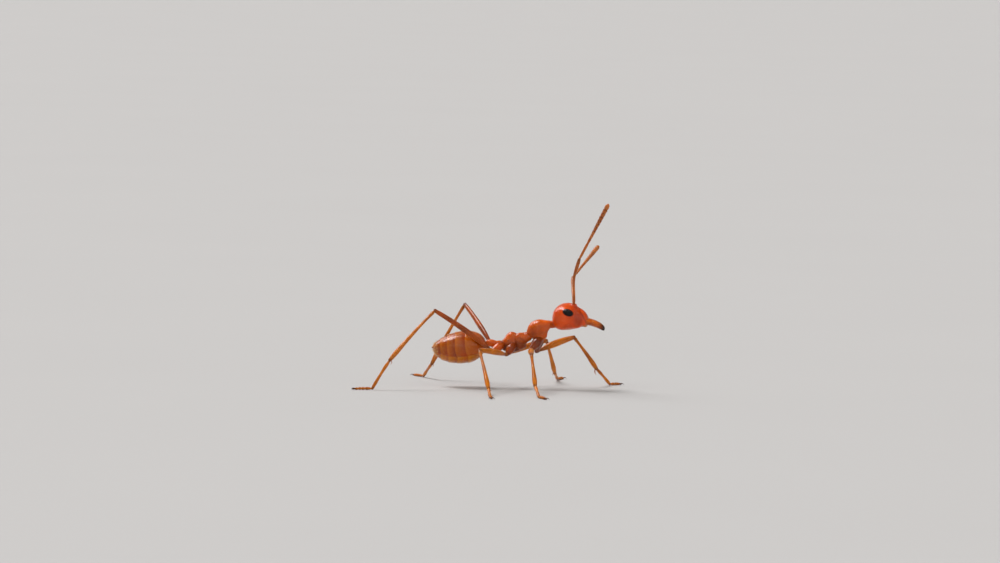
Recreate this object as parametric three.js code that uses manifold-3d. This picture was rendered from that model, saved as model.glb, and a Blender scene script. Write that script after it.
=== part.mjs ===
// A weaver ant, major worker, at life size: a still model standing on six feet with both antennae raised.
// Millimetres. +X is the way the ant faces, +Y its left side, +Z up, and the floor it stands on is z = 0.
// The body sections lie on the plane y = 0. Legs and antennae are set out from joint to joint.
// The group is then moved so that the origin is under the middle of the whole model, at floor level.

import * as THREE from 'three';
import { mergeVertices } from 'three/addons/utils/BufferGeometryUtils.js';
import Module from 'manifold-3d';

const wasm = await Module();
wasm.setup();

// ---------- Driving dimensions ----------

const GAP = 0.03; // clearance between two neighbouring pieces
const LIMB_RADIUS = 0.25; // every joint of a leg or antenna is a ball of this radius
const FEMUR_MIDDLE = 0.28; // a femur is a little stouter halfway along
const FOOT_AXIS_HEIGHT = 0.2; // the toes' centreline, so that the floor cuts a small flat along them
const SAME_POINT = 1e-5; // corners closer than this are merged into one

// How finely each kind of piece is faceted: sides round it, and rings from one end to the other.
const LIMB = { sides: 8, capSteps: 2, bulgeSteps: 4 };
const JOINT = { sides: 8, rings: 6 };
const BODY = { sides: 16, rings: 12 };
const SKULL = { sides: 20, rings: 14 };
const WAIST = { sides: 12, rings: 8 };
const EYEBALL = { sides: 12, rings: 8 };

// Lengths of the leg segments from joint to joint, for each pair of legs.
const LEG_LENGTHS = {
  front: { coxa: 0.86, femur: 2.4, tibia: 2.17, basitarsus: 1.42, toes: 0.72 },
  middle: { coxa: 0.75, femur: 2.7, tibia: 2.8, basitarsus: 1.25, toes: 0.72 },
  hind: { coxa: 0.79, femur: 3.92, tibia: 3.82, basitarsus: 1.72, toes: 0.95 },
};

// Where the left coxa of each pair leaves the trunk; the right one is its mirror image.
const HIPS = {
  front: [2.12, 0.3, 2.72],
  middle: [0.69, 0.3, 2.36],
  hind: [0.11, 0.25, 2.38],
};

// The pose of each leg. Every segment has [heading, rise] in degrees: the heading is seen from above,
// from straight ahead (0) to straight out to the side (90) and straight back (180), and the rise is
// above level. The basitarsus and the toes have a heading only, because the floor settles their rise.
const LEG_POSES = {
  front_right: { coxa: [137, -39], femur: [89, -1], tibia: [81, -47], basitarsus: 81, toes: 62 },
  front_left: { coxa: [107, -57], femur: [26, 18], tibia: [10, -53], basitarsus: 49, toes: 42 },
  middle_right: { coxa: [130, -37], femur: [123, 8], tibia: [75, -43], basitarsus: 86, toes: 82 },
  middle_left: { coxa: [116, -42], femur: [38, 13], tibia: [75, -44], basitarsus: 82, toes: 68 },
  hind_right: { coxa: [143, -21], femur: [168, 34], tibia: [150, -44], basitarsus: 160, toes: 172 },
  hind_left: { coxa: [139, -8], femur: [118, 31], tibia: [170, -62], basitarsus: 108, toes: 124 },
};

// Antennae: the scape bends a little past its middle, then comes the elbow and the funiculus.
const ANTENNA = { root: [3.95, 0.28, 4.69], scapeLower: 1.75, scapeUpper: 1.2, funiculus: 3.35 };
const ANTENNA_POSES = {
  right: { lower: [92, 60], upper: [66, 62], funiculus: [27, 61] },
  left: { lower: [91, 23], upper: [91, 29], funiculus: [63, 27] },
};

// Body sections, each a rounded bulb drawn from its rear end to its front end, both [x, z] on y = 0.
// width is across the ant, above and below are heights from the axis, widest is the place of the
// fullest section as a share of the length, blunt and bluntWide say how full the ends are seen
// from the side and from above (2 is an ellipse), and taper narrows the front end.
const HEAD = {
  rear: [2.8, 3.8], front: [4.86, 3.94], width: 2.02, above: 0.94, below: 0.66,
  widest: 0.45, blunt: 2.05, bluntWide: 2.7, taper: 0.28,
};
const PRONOTUM = {
  rear: [1.36, 3.03], front: [2.72, 3.42], width: 1.1, above: 0.63, below: 0.58,
  widest: 0.5, blunt: 2.2, bluntWide: 2.1,
};
const MESOTHORAX = {
  rear: [0.55, 2.62], front: [1.82, 2.86], width: 0.66, above: 0.46, below: 0.46,
  widest: 0.5, blunt: 2.6, bluntWide: 2.2,
};
const PROPODEUM = {
  rear: [0.0, 2.42], front: [1.2, 2.6], width: 0.76, above: 0.56, below: 0.36,
  widest: 0.47, blunt: 2.3, bluntWide: 2.3,
};
const PETIOLE = {
  rear: [-0.92, 2.42], front: [0.1, 2.46], width: 0.5, above: 0.26, below: 0.25,
  widest: 0.45, blunt: 3.2, bluntWide: 3,
};
const PETIOLE_NODE = {
  rear: [-0.8, 2.46], front: [-0.3, 2.46], width: 0.5, above: 0.31, below: 0.1,
  widest: 0.45, blunt: 2.2, bluntWide: 2.2,
};
const GASTER = {
  rear: [-3.74, 2.16], front: [-0.82, 2.38], width: 1.86, above: 0.82, below: 1.0,
  widest: 0.58, blunt: 2.1, bluntWide: 2.15,
};
const NECK = { rear: [2.4, 0, 3.42], front: [3.05, 0, 3.66], radius: 0.25 };
const EYE = { x: 3.63, y: 0.79, z: 4.28, long: 0.6, tall: 0.4, deep: 0.36, noseDown: 19, leanOut: 22 };
// A mandible is a flat triangular blade: its hinge is at the corner of the head, and its inner edge
// closes on the plane y = 0. Lengths run forward from the hinge line, half-widths out from that plane.
// fullness says how far along and out the outer edge bulges, as shares of the length and the width.
const MANDIBLE = {
  hingeX: 4.52, hingeZ: 3.8, length: 1.2, shoulder: 0.3, width: 0.56, thickness: 0.4,
  round: 0.07, roundSteps: 2, curveSteps: 6, fullness: 0.8, noseDown: 17,
};
// A block under the floor, wide enough to reach every foot, that cuts the flats the ant stands on.
const UNDER_FLOOR = { size: 40, depth: 2 };

const COLOURS = {
  head: '#c8501a',
  trunk: '#b8430f',
  gaster: '#b9611c',
  leg: '#c9852e',
  antenna: '#c47a3c',
  mandible: '#9a3c12',
  eye: '#120c0a',
};
const POLISH = { roughness: 0.35, metalness: 0 };

// ---------- Solids ----------

// Turns a closed three.js geometry into a solid that can be cut and joined.
function toSolid(geometry) {
  const bare = geometry.clone();
  bare.deleteAttribute('normal');
  bare.deleteAttribute('uv');
  const merged = mergeVertices(bare, SAME_POINT);
  const corners = merged.index.array;
  const kept = [];
  for (let i = 0; i < corners.length; i += 3) {
    const [a, b, c] = [corners[i], corners[i + 1], corners[i + 2]];
    if (a !== b && b !== c && c !== a) kept.push(a, b, c);
  }
  const points = Float32Array.from(merged.attributes.position.array);
  if (signedVolume(points, kept) < 0) kept.reverse();
  const triVerts = Uint32Array.from(kept);
  return new wasm.Manifold(new wasm.Mesh({ numProp: 3, vertProperties: points, triVerts }));
}

function signedVolume(points, corners) {
  const at = (i) => new THREE.Vector3().fromArray(points, 3 * i);
  let sum = 0;
  for (let i = 0; i < corners.length; i += 3) {
    sum += at(corners[i]).dot(at(corners[i + 1]).cross(at(corners[i + 2])));
  }
  return sum / 6;
}

function toMesh(name, solid, colour) {
  const { vertProperties, triVerts } = solid.getMesh();
  const geometry = new THREE.BufferGeometry();
  geometry.setAttribute('position', new THREE.BufferAttribute(Float32Array.from(vertProperties), 3));
  geometry.setIndex(new THREE.BufferAttribute(Uint32Array.from(triVerts), 1));
  geometry.computeVertexNormals();
  const mesh = new THREE.Mesh(geometry, new THREE.MeshStandardMaterial({ color: colour, ...POLISH }));
  mesh.name = name;
  return mesh;
}

const cutBy = (solid, ...cutters) => cutters.reduce((left, cutter) => left.subtract(cutter), solid);

// A sphere whose poles lie along X, moved vertex by vertex to the shape of a body section.
function bulb(spec, grow = 0, fineness = BODY) {
  const { rear, front, width, above, below, widest, blunt, bluntWide, taper = 0 } = spec;
  const start = new THREE.Vector3(rear[0], 0, rear[1]);
  const end = new THREE.Vector3(front[0], 0, front[1]);
  const along = end.clone().sub(start).normalize();
  const up = new THREE.Vector3(-along.z, 0, along.x);
  start.addScaledVector(along, -grow);
  end.addScaledVector(along, grow);
  const fullness = (x, power) => Math.pow(Math.max(0, 1 - Math.pow(Math.abs(x), power)), 1 / power);
  const geometry = new THREE.SphereGeometry(1, fineness.sides, fineness.rings).rotateZ(Math.PI / 2);
  const corner = geometry.attributes.position;
  const point = new THREE.Vector3();
  for (let i = 0; i < corner.count; i += 1) {
    point.fromBufferAttribute(corner, i);
    const reach = Math.hypot(point.y, point.z) || 1;
    const share = Math.pow((point.x + 1) / 2, Math.log(widest) / Math.log(0.5));
    const half = (width / 2 + grow) * (1 - taper * share) * fullness(point.x, bluntWide);
    const height = ((point.z > 0 ? above : below) + grow) * fullness(point.x, blunt);
    const placed = start.clone().lerp(end, share);
    placed.addScaledVector(up, (height * point.z) / reach);
    placed.y += (half * point.y) / reach;
    corner.setXYZ(i, placed.x, placed.y, placed.z);
  }
  return toSolid(geometry);
}

const UPRIGHT = new THREE.Vector3(0, 1, 0);

// A straight limb from a to b with a rounded end at each: a lathed profile that is middle in radius
// halfway, and radius at both joints.
function limb(a, b, radius = LIMB_RADIUS, middle = radius) {
  const direction = b.clone().sub(a);
  const length = direction.length();
  const profile = [];
  const shaftSteps = middle === radius ? 1 : LIMB.bulgeSteps;
  const turn = (i) => (i / LIMB.capSteps) * (Math.PI / 2);
  for (let i = 0; i < LIMB.capSteps; i += 1) {
    profile.push(new THREE.Vector2(radius * Math.sin(turn(i)), -radius * Math.cos(turn(i))));
  }
  for (let i = 0; i <= shaftSteps; i += 1) {
    const share = i / shaftSteps;
    profile.push(new THREE.Vector2(radius + (middle - radius) * Math.sin(Math.PI * share), length * share));
  }
  for (let i = LIMB.capSteps - 1; i >= 0; i -= 1) {
    profile.push(new THREE.Vector2(radius * Math.sin(turn(i)), length + radius * Math.cos(turn(i))));
  }
  const geometry = new THREE.LatheGeometry(profile, LIMB.sides);
  geometry.applyQuaternion(new THREE.Quaternion().setFromUnitVectors(UPRIGHT, direction.normalize()));
  return toSolid(geometry.translate(a.x, a.y, a.z));
}

function ball(centre, radius) {
  const geometry = new THREE.SphereGeometry(radius, JOINT.sides, JOINT.rings);
  return toSolid(geometry.translate(centre.x, centre.y, centre.z));
}

// The hollow left round a joint, so that two segments meet with a clearance.
const socket = (joint) => ball(joint, LIMB_RADIUS + GAP);

// ---------- Directions and joints ----------

// A step of the given length on a heading and rise in degrees; side is 1 for left and -1 for right.
function step([heading, rise], length, side) {
  const h = THREE.MathUtils.degToRad(heading);
  const r = THREE.MathUtils.degToRad(rise);
  const level = Math.cos(r) * length;
  return new THREE.Vector3(Math.cos(h) * level, side * Math.sin(h) * level, Math.sin(r) * length);
}

function legJoints(pair, side, pose) {
  const lengths = LEG_LENGTHS[pair];
  const [x, y, z] = HIPS[pair];
  const hip = new THREE.Vector3(x, side * y, z);
  const trochanter = hip.clone().add(step(pose.coxa, lengths.coxa, side));
  const knee = trochanter.clone().add(step(pose.femur, lengths.femur, side));
  const ankle = knee.clone().add(step(pose.tibia, lengths.tibia, side));
  const fall = THREE.MathUtils.radToDeg(Math.asin((FOOT_AXIS_HEIGHT - ankle.z) / lengths.basitarsus));
  const heel = ankle.clone().add(step([pose.basitarsus, fall], lengths.basitarsus, side));
  const toe = heel.clone().add(step([pose.toes, 0], lengths.toes, side));
  return { hip, trochanter, knee, ankle, heel, toe };
}

// ---------- Pieces ----------

const ant = new THREE.Group();
const add = (name, solid, colour) => ant.add(toMesh(name, solid, colour));

function trunk() {
  add('pronotum', bulb(PRONOTUM), COLOURS.trunk);
  add('mesothorax', cutBy(bulb(MESOTHORAX), bulb(PRONOTUM, GAP)), COLOURS.trunk);
  add('propodeum', cutBy(bulb(PROPODEUM), bulb(MESOTHORAX, GAP), bulb(PRONOTUM, GAP)), COLOURS.trunk);
}

function waistAndGaster() {
  const petiole = bulb(PETIOLE, 0, WAIST).add(bulb(PETIOLE_NODE, 0, WAIST));
  add('petiole', cutBy(petiole, bulb(PROPODEUM, GAP), bulb(GASTER, GAP)), COLOURS.trunk);
  add('gaster', bulb(GASTER), COLOURS.gaster);
}

// An ellipsoid, tilted down at the front and leaning outwards; grow makes the socket it sits in.
function eye(side, grow = 0) {
  const geometry = new THREE.SphereGeometry(0.5, EYEBALL.sides, EYEBALL.rings);
  geometry.scale(EYE.long + 2 * grow, EYE.deep + 2 * grow, EYE.tall + 2 * grow);
  geometry.rotateY(THREE.MathUtils.degToRad(EYE.noseDown));
  geometry.rotateX(THREE.MathUtils.degToRad(EYE.leanOut * side));
  return toSolid(geometry.translate(EYE.x, side * EYE.y, EYE.z));
}

function mandible(side) {
  const { hingeX, hingeZ, length, shoulder, width, thickness, round, fullness, noseDown } = MANDIBLE;
  const outline = new THREE.Shape();
  outline.moveTo(round, GAP / 2 + round);
  outline.lineTo(length - round, GAP / 2 + round);
  outline.quadraticCurveTo(fullness * length, fullness * width, shoulder, width - round);
  outline.lineTo(round, width - round);
  outline.closePath();
  const flat = thickness - 2 * round;
  const geometry = new THREE.ExtrudeGeometry(outline, {
    depth: flat,
    curveSegments: MANDIBLE.curveSteps,
    bevelThickness: round,
    bevelSize: round,
    bevelSegments: MANDIBLE.roundSteps,
  });
  geometry.translate(0, 0, -flat / 2);
  geometry.scale(1, side, 1);
  geometry.rotateY(THREE.MathUtils.degToRad(noseDown));
  return toSolid(geometry.translate(hingeX, 0, hingeZ));
}

function antennaJoints(side) {
  const pose = side > 0 ? ANTENNA_POSES.left : ANTENNA_POSES.right;
  const [x, y, z] = ANTENNA.root;
  const root = new THREE.Vector3(x, side * y, z);
  const bend = root.clone().add(step(pose.lower, ANTENNA.scapeLower, side));
  const elbow = bend.clone().add(step(pose.upper, ANTENNA.scapeUpper, side));
  const tip = elbow.clone().add(step(pose.funiculus, ANTENNA.funiculus, side));
  return { root, bend, elbow, tip };
}

function headAndAntennae() {
  const neck = limb(new THREE.Vector3(...NECK.rear), new THREE.Vector3(...NECK.front), NECK.radius);
  const headAndClearance = bulb(HEAD, GAP, SKULL);
  add('neck', cutBy(neck, bulb(PRONOTUM, GAP), headAndClearance), COLOURS.trunk);
  const sockets = [1, -1].flatMap((side) => [eye(side, GAP), socket(antennaJoints(side).root)]);
  add('head', cutBy(bulb(HEAD, 0, SKULL), ...sockets), COLOURS.head);
  for (const [name, side] of [['left', 1], ['right', -1]]) {
    add(`eye_${name}`, eye(side), COLOURS.eye);
    add(`mandible_${name}`, cutBy(mandible(side), headAndClearance), COLOURS.mandible);
    const { root, bend, elbow, tip } = antennaJoints(side);
    add(`antenna_scape_${name}`, limb(root, bend).add(limb(bend, elbow)), COLOURS.antenna);
    add(`antenna_funiculus_${name}`, cutBy(limb(elbow, tip), socket(elbow)), COLOURS.antenna);
  }
}

function leg(pair, sideName, side) {
  const { hip, trochanter, knee, ankle, heel, toe } = legJoints(pair, side, LEG_POSES[`${pair}_${sideName}`]);
  const name = (part) => `${part}_${pair}_${sideName}`;
  const body = [PRONOTUM, MESOTHORAX, PROPODEUM, PETIOLE].map((section) => bulb(section, GAP));
  add(name('coxa'), cutBy(limb(hip, trochanter), ...body), COLOURS.leg);
  const femur = limb(trochanter, knee, LIMB_RADIUS, FEMUR_MIDDLE);
  add(name('femur'), cutBy(femur, socket(trochanter)), COLOURS.leg);
  add(name('tibia'), cutBy(limb(knee, ankle), socket(knee)), COLOURS.leg);
  const underFloor = new THREE.BoxGeometry(UNDER_FLOOR.size, UNDER_FLOOR.size, UNDER_FLOOR.depth);
  underFloor.translate(0, 0, -UNDER_FLOOR.depth / 2);
  const tarsus = limb(ankle, heel).add(limb(heel, toe));
  add(name('tarsus'), cutBy(tarsus, socket(ankle), toSolid(underFloor)), COLOURS.leg);
}

trunk();
waistAndGaster();
headAndAntennae();
for (const pair of ['front', 'middle', 'hind']) {
  leg(pair, 'left', 1);
  leg(pair, 'right', -1);
}

const box = new THREE.Box3().setFromObject(ant);
const middle = box.getCenter(new THREE.Vector3());
ant.position.set(-middle.x, -middle.y, -box.min.z);

export default ant;
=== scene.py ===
# %% [markdown]
# # A weaver ant worker at life size
# A weaver ant is a suit of hard, glossy plates with almost no soft parts showing. The frame holds its
# plain solids at their true places: this lesson dresses each of them in a finer skin of the same size.
# Every length below is in millimetres, because the whole ant is about ten of them long, and a single
# factor turns them into Blender's metres when a mesh is made.

import math

import bpy
import numpy as np
from mathutils import Matrix, Vector


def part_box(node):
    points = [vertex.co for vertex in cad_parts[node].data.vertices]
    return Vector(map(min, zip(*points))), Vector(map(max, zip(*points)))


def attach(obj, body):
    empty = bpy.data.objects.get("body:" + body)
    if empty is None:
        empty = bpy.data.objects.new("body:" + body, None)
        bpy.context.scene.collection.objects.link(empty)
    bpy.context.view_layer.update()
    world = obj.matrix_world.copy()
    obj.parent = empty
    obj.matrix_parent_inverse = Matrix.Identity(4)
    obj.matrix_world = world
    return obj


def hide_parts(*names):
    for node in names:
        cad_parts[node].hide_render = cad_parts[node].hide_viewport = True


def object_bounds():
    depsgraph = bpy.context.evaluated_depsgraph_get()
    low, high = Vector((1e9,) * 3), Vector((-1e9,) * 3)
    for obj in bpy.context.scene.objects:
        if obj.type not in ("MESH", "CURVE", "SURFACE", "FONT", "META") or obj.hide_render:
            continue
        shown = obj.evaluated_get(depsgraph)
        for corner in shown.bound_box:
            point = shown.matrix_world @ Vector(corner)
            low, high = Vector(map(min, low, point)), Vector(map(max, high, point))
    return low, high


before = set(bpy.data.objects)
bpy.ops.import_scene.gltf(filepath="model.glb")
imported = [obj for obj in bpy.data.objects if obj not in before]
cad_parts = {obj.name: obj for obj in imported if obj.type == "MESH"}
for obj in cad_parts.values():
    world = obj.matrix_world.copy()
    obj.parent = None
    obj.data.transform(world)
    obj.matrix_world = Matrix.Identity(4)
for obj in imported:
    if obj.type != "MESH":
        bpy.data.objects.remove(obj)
cad_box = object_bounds()
MM = 0.001
print("frame:", len(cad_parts), "solids")
print("box in mm:", [round(s / MM, 2) for s in cad_box[1] - cad_box[0]])

# %% [markdown]
# ## Where the joints are
# The skins of a leg have to turn exactly where its solids turn. The places could be copied from the CAD
# file as a list, but they are already in the frame: a limb's solid is a straight rod with a ball at each
# end, so its long axis and its two ends give both joints. A singular value decomposition finds the axis.

# %% Read a solid's corners and joints
BALL = 0.25  # the radius of the ball that ends each limb's solid
RIM = 0.04  # how far from its joint the hollowed end of a limb's solid begins


def corners(node):
    """The different corners of a solid, in millimetres."""
    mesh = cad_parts[node].data
    flat = np.empty(3 * len(mesh.vertices))
    mesh.vertices.foreach_get("co", flat)
    return np.unique(np.round(flat.reshape(-1, 3) / MM, 4), axis=0)


def box_of(node):
    """The lowest and highest corner of a solid, in millimetres."""
    low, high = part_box(node)
    return np.array(low) / MM, np.array(high) / MM


def unit(vector):
    """The same direction, one long."""
    return vector / np.linalg.norm(vector)


def limb_joints(node, near):
    """The centres of a straight limb's two joints, first the hollowed one, which is nearer to near."""
    points = corners(node)
    middle = points.mean(axis=0)
    axis = np.linalg.svd(points - middle)[2][0]
    if (near - middle) @ axis > 0:
        axis = -axis
    reach = (points - middle) @ axis
    return middle + axis * (reach.min() - RIM), middle + axis * (reach.max() - BALL)


counts = {node: len(corners(node)) for node in ("head", "femur_hind_left")}
print("corners of two of the solids:", counts)

# %% The joints of the legs
CLEAR = 0.02  # how far outside the ball a corner has to be to belong to the shaft
SOLE_DEPTH = 0.2  # how far below the middle of a foot's balls its flat sole is cut
ON_FLOOR = 0.001  # a corner lower than this belongs to the sole


def leg_joints(leg):
    """The named joints of one leg: hip, trochanter, knee, ankle, heel and toe."""
    coxa = corners("coxa_" + leg)
    trochanter, knee = limb_joints("femur_" + leg, coxa.mean(axis=0))
    ankle = limb_joints("tibia_" + leg, knee)[1]
    shaft = coxa[np.linalg.norm(coxa - trochanter, axis=1) > BALL + CLEAR]
    hip = shaft.mean(axis=0)
    tarsus = corners("tarsus_" + leg)
    sole = tarsus[tarsus[:, 2] < ON_FLOOR][:, :2]
    middle = sole.mean(axis=0)
    heading = np.linalg.svd(sole - middle)[2][0]
    if heading @ (middle - ankle[:2]) < 0:
        heading = -heading
    reach = (sole - middle) @ heading
    round_end = np.sqrt(BALL**2 - SOLE_DEPTH**2)
    heel = np.append(middle + heading * (reach.min() + round_end), 0)
    toe = np.append(middle + heading * (reach.max() - round_end), 0)
    return {"hip": hip, "trochanter": trochanter, "knee": knee, "ankle": ankle, "heel": heel, "toe": toe}


LEGS = [pair + "_" + side for pair in ("front", "middle", "hind") for side in ("left", "right")]
leg_places = {leg: leg_joints(leg) for leg in LEGS}
head_low, head_high = box_of("head")
MIDDLE = (head_low[1] + head_high[1]) / 2  # the plane that the two halves of the body mirror in
for leg in LEGS:
    print(leg, {name: np.round(place, 2).tolist() for name, place in leg_places[leg].items()})

# %% [markdown]
# ## Skins made of rings
# Nearly every plate of an insect is a tube or a bulb: rings set out along a line, closed in a point at
# each end. One helper joins rings into such a skin, and others write down what later steps need: an unwrap
# of the skin, the way its down lies, how thick the down is, and how dark each place is. Subdivision
# surfaces over a cage would also work, but rings keep the driving dimensions in plain sight.

# %% Build a piece from points and faces
TINY = 1e-9  # keeps a length that is divided by from being zero


def add_piece(name, points, faces, material, places=None, marks=None):
    """A mesh object from points in millimetres. places is the unwrap, one pair for each face corner."""
    mesh = bpy.data.meshes.new(name)
    mesh.from_pydata((np.asarray(points) * MM).tolist(), [], faces)
    mesh.polygons.foreach_set("use_smooth", np.ones(len(faces), bool))
    if places is not None:
        mesh.uv_layers.new(name="Unwrap").data.foreach_set("uv", np.asarray(places).ravel())
    for mark, values in (marks or {}).items():
        values = np.asarray(values, float)
        kind, field = ("FLOAT_VECTOR", "vector") if values.ndim == 2 else ("FLOAT", "value")
        mesh.attributes.new(mark, kind, "POINT").data.foreach_set(field, values.ravel())
    mesh.materials.append(material)
    piece = bpy.data.objects.new(name, mesh)
    bpy.context.scene.collection.objects.link(piece)
    return piece


print("pieces are drawn in millimetres and stored in metres, times", MM)

# %% Which way faces point
def volume(points, faces):
    """Six times the volume inside triangles and quads, negative where they point inwards."""
    total = 0.0
    for size in (3, 4):
        block = np.array([face for face in faces if len(face) == size], int).reshape(-1, size)
        for i in range(1, size - 1):
            corner = points[block[:, 0]], points[block[:, i]], points[block[:, i + 1]]
            total += np.einsum("ij,ij->", corner[0], np.cross(corner[1], corner[2]))
    return total


def turn_outwards(points, faces, places):
    """Turns every face round, with its corners on the unwrap, if the faces point inwards."""
    if volume(points, faces) >= 0:
        return faces, places
    sizes = [len(face) for face in faces]
    blocks = np.split(places, np.cumsum(sizes)[:-1])
    return [face[::-1] for face in faces], np.vstack([block[::-1] for block in blocks])


pyramid = np.array([[0.0, 0, 0], [1, 0, 0], [0, 1, 0], [0, 0, 1]])
print("six times a small pyramid:", volume(pyramid, [[0, 2, 1], [0, 1, 3], [0, 3, 2], [1, 2, 3]]))

# %% Close rings into a skin
def ring_skin(rings, start, end):
    """Joins rings, an array of rings by sides by three, into a skin closed by a point at each end."""
    count, sides = rings.shape[:2]
    points = np.vstack([rings.reshape(-1, 3), start, end])
    first, last = count * sides, count * sides + 1
    i, j = np.meshgrid(np.arange(count - 1), np.arange(sides), indexing="ij")
    k = (j + 1) % sides
    quads = np.stack([i * sides + j, i * sides + k, (i + 1) * sides + k, (i + 1) * sides + j], axis=-1)
    across = np.stack([j, j + 1, j + 1, j], axis=-1) / sides
    along = np.stack([i + 1, i + 1, i + 2, i + 2], axis=-1) / (count + 1)
    faces = quads.reshape(-1, 4).tolist()
    places = [np.stack([across, along], axis=-1).reshape(-1, 2)]
    for side in range(sides):
        after = (side + 1) % sides
        row = (count - 1) * sides
        faces.append([first, after, side])
        faces.append([last, row + side, row + after])
        near, far = 1 / (count + 1), count / (count + 1)
        middle = (side + 0.5) / sides
        places.append([[middle, 0], [(side + 1) / sides, near], [side / sides, near]])
        places.append([[middle, 1], [side / sides, far], [(side + 1) / sides, far]])
    faces, places = turn_outwards(points, faces, np.vstack(places))
    return points, faces, places


def lie_along(rings):
    """The direction from each point of the rings to the next ring, with the two closing points last."""
    steps = np.gradient(rings, axis=0)
    ways = np.vstack([steps.reshape(-1, 3), steps[0].mean(axis=0), steps[-1].mean(axis=0)])
    return ways / np.maximum(np.linalg.norm(ways, axis=1, keepdims=True), TINY)


square = np.array([[[0.0, 0, z], [0, 1, z], [1, 1, z], [1, 0, z]] for z in (0, 1, 2)])
print("three square rings close into", len(ring_skin(square, square[0, 0], square[-1, 0])[1]), "faces")

# %% Smooth curves
def smooth(stations, at):
    """A smooth curve through a few (share, value) stations, read at the given shares."""
    share, value = np.array(stations, float).T
    slope = np.gradient(value, share)
    i = np.clip(np.searchsorted(share, at, side="right") - 1, 0, len(share) - 2)
    width = share[i + 1] - share[i]
    t = (at - share[i]) / width
    rise = (2 * t**3 - 3 * t**2 + 1) * value[i] + (3 * t**2 - 2 * t**3) * value[i + 1]
    return rise + ((t**3 - 2 * t**2 + t) * slope[i] + (t**3 - t**2) * slope[i + 1]) * width


def smooth_path(points, count):
    """A smooth line through a few points, with its own places evenly spaced."""
    points = np.array(points, float)
    steps = np.linalg.norm(np.diff(points, axis=0), axis=1)
    share = np.append(0, np.cumsum(steps)) / steps.sum()
    at = np.linspace(0, 1, count)
    return np.stack([smooth(list(zip(share, points[:, axis])), at) for axis in range(3)], axis=-1)


print("a curve through 0, 1, 0 is", float(smooth(((0, 0), (0.5, 1), (1, 0)), 0.25)), "a quarter along")

# %% Tubes
DOME_STEPS = 4


def tube_rings(path, radii, sides, tall=1.0, toward=(0, 0, 1)):
    """Rings round a path with a domed end. tall stretches each ring towards the given direction."""
    tangents = np.gradient(path, axis=0)
    tangents /= np.linalg.norm(tangents, axis=1, keepdims=True)
    turns = (np.arange(DOME_STEPS) + 0.5) / DOME_STEPS * math.pi / 2
    stations = list(zip(path, tangents, radii))
    first, last = (
        [(centre + sign * tangent * radius * math.cos(a), tangent, radius * math.sin(a)) for a in turns]
        for sign, (centre, tangent, radius) in ((-1, stations[0]), (1, stations[-1]))
    )
    around = np.linspace(0, 2 * math.pi, sides, endpoint=False)
    rings = []
    for centre, tangent, radius in first + stations + last[::-1]:
        side = np.cross(np.array(toward, float), tangent)
        side = unit(side if np.linalg.norm(side) > 0.05 else np.cross([1.0, 0, 0], tangent))
        up = np.cross(tangent, side)
        spokes = np.outer(np.cos(around), side) + tall * np.outer(np.sin(around), up)
        rings.append(centre + radius * spokes)
    tips = path[0] - tangents[0] * radii[0], path[-1] + tangents[-1] * radii[-1]
    return np.array(rings), *tips


def tube(
    name, path, stations, material, sides, tall=1.0, toward=(0, 0, 1), dark=((0, 0), (1, 0)), down=1.0,
):
    """A limb segment: rings whose radius follows the stations along the path."""
    share = np.linspace(0, 1, len(path))
    rings, start, end = tube_rings(path, smooth(stations, share), sides, tall, toward)
    points, faces, places = ring_skin(rings, start, end)
    of_ring = np.clip((np.arange(len(rings)) - DOME_STEPS) / (len(path) - 1), 0, 1)
    shade = np.append(np.repeat(smooth(dark, of_ring), sides), [dark[0][1], dark[-1][1]])
    marks = {"shade": np.clip(shade, 0, 1), "lie": lie_along(rings), "down": np.full(len(points), down)}
    return add_piece(name, points, faces, material, places, marks)


straight = np.linspace([0, 0, 0], [0, 0, 1.0], 5)
print("a tube of 5 stations has", len(tube_rings(straight, np.full(5, 0.1), 12)[0]), "rings with its domes")

# %% [markdown]
# ## Forms for the body plates
# The head and the trunk plates are not tubes: they have lobes, ridges, pits and grooves. Each is made as
# a form, a function that is negative inside and positive outside, joined from a few ellipsoids with a soft
# seam. Rays from the middle of the form find its surface, so the skin is closed and has no bad corners.
# Sculpting by hand gives such shapes too, but a form stays editable: each lobe is one line.

# %% Ellipsoids and rods
def ellipsoid(centre, radii, pitch=0.0, yaw=0.0, axes=None):
    """An ellipsoid, pitched nose up and yawed to the left in degrees, or set along three given axes."""
    turn = Matrix.Rotation(math.radians(yaw), 3, "Z") @ Matrix.Rotation(math.radians(-pitch), 3, "Y")
    turn = np.array(turn) if axes is None else np.array(axes).T
    radii = np.array(radii, float)

    def form(points):
        local = (points - centre) @ turn
        scaled = np.linalg.norm(local / radii, axis=-1)
        slope = np.linalg.norm(local / radii**2, axis=-1)
        return scaled * (scaled - 1) / np.maximum(slope, TINY)

    return form


def rod(start, end, radius):
    """A round-ended rod, for ridges and rims."""
    start, way = np.array(start, float), np.array(end, float) - np.array(start, float)

    def form(points):
        share = np.clip((points - start) @ way / (way @ way), 0, 1)
        return np.linalg.norm(points - start - share[..., None] * way, axis=-1) - radius

    return form


ball = ellipsoid((0, 0, 0), (1, 1, 1))
print("a place 2 mm from the middle of a 1 mm ball is", float(ball(np.array([2.0, 0, 0]))), "mm outside it")

# %% Join, cut and mirror forms
def joined(softness, *forms):
    """The union of forms, with a fillet of the given softness where they meet."""

    def form(points):
        total = forms[0](points)
        for other in forms[1:]:
            value = other(points)
            share = np.clip(0.5 + 0.5 * (value - total) / softness, 0, 1)
            total = value + (total - value) * share - softness * share * (1 - share)
        return total

    return form


def hollowed(softness, body, *cutters):
    """A form with others cut out of it, with a soft edge."""

    def form(points):
        total = body(points)
        for cutter in cutters:
            value = -cutter(points)
            share = np.clip(0.5 - 0.5 * (value - total) / softness, 0, 1)
            total = value + (total - value) * share + softness * share * (1 - share)
        return total

    return form


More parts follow.
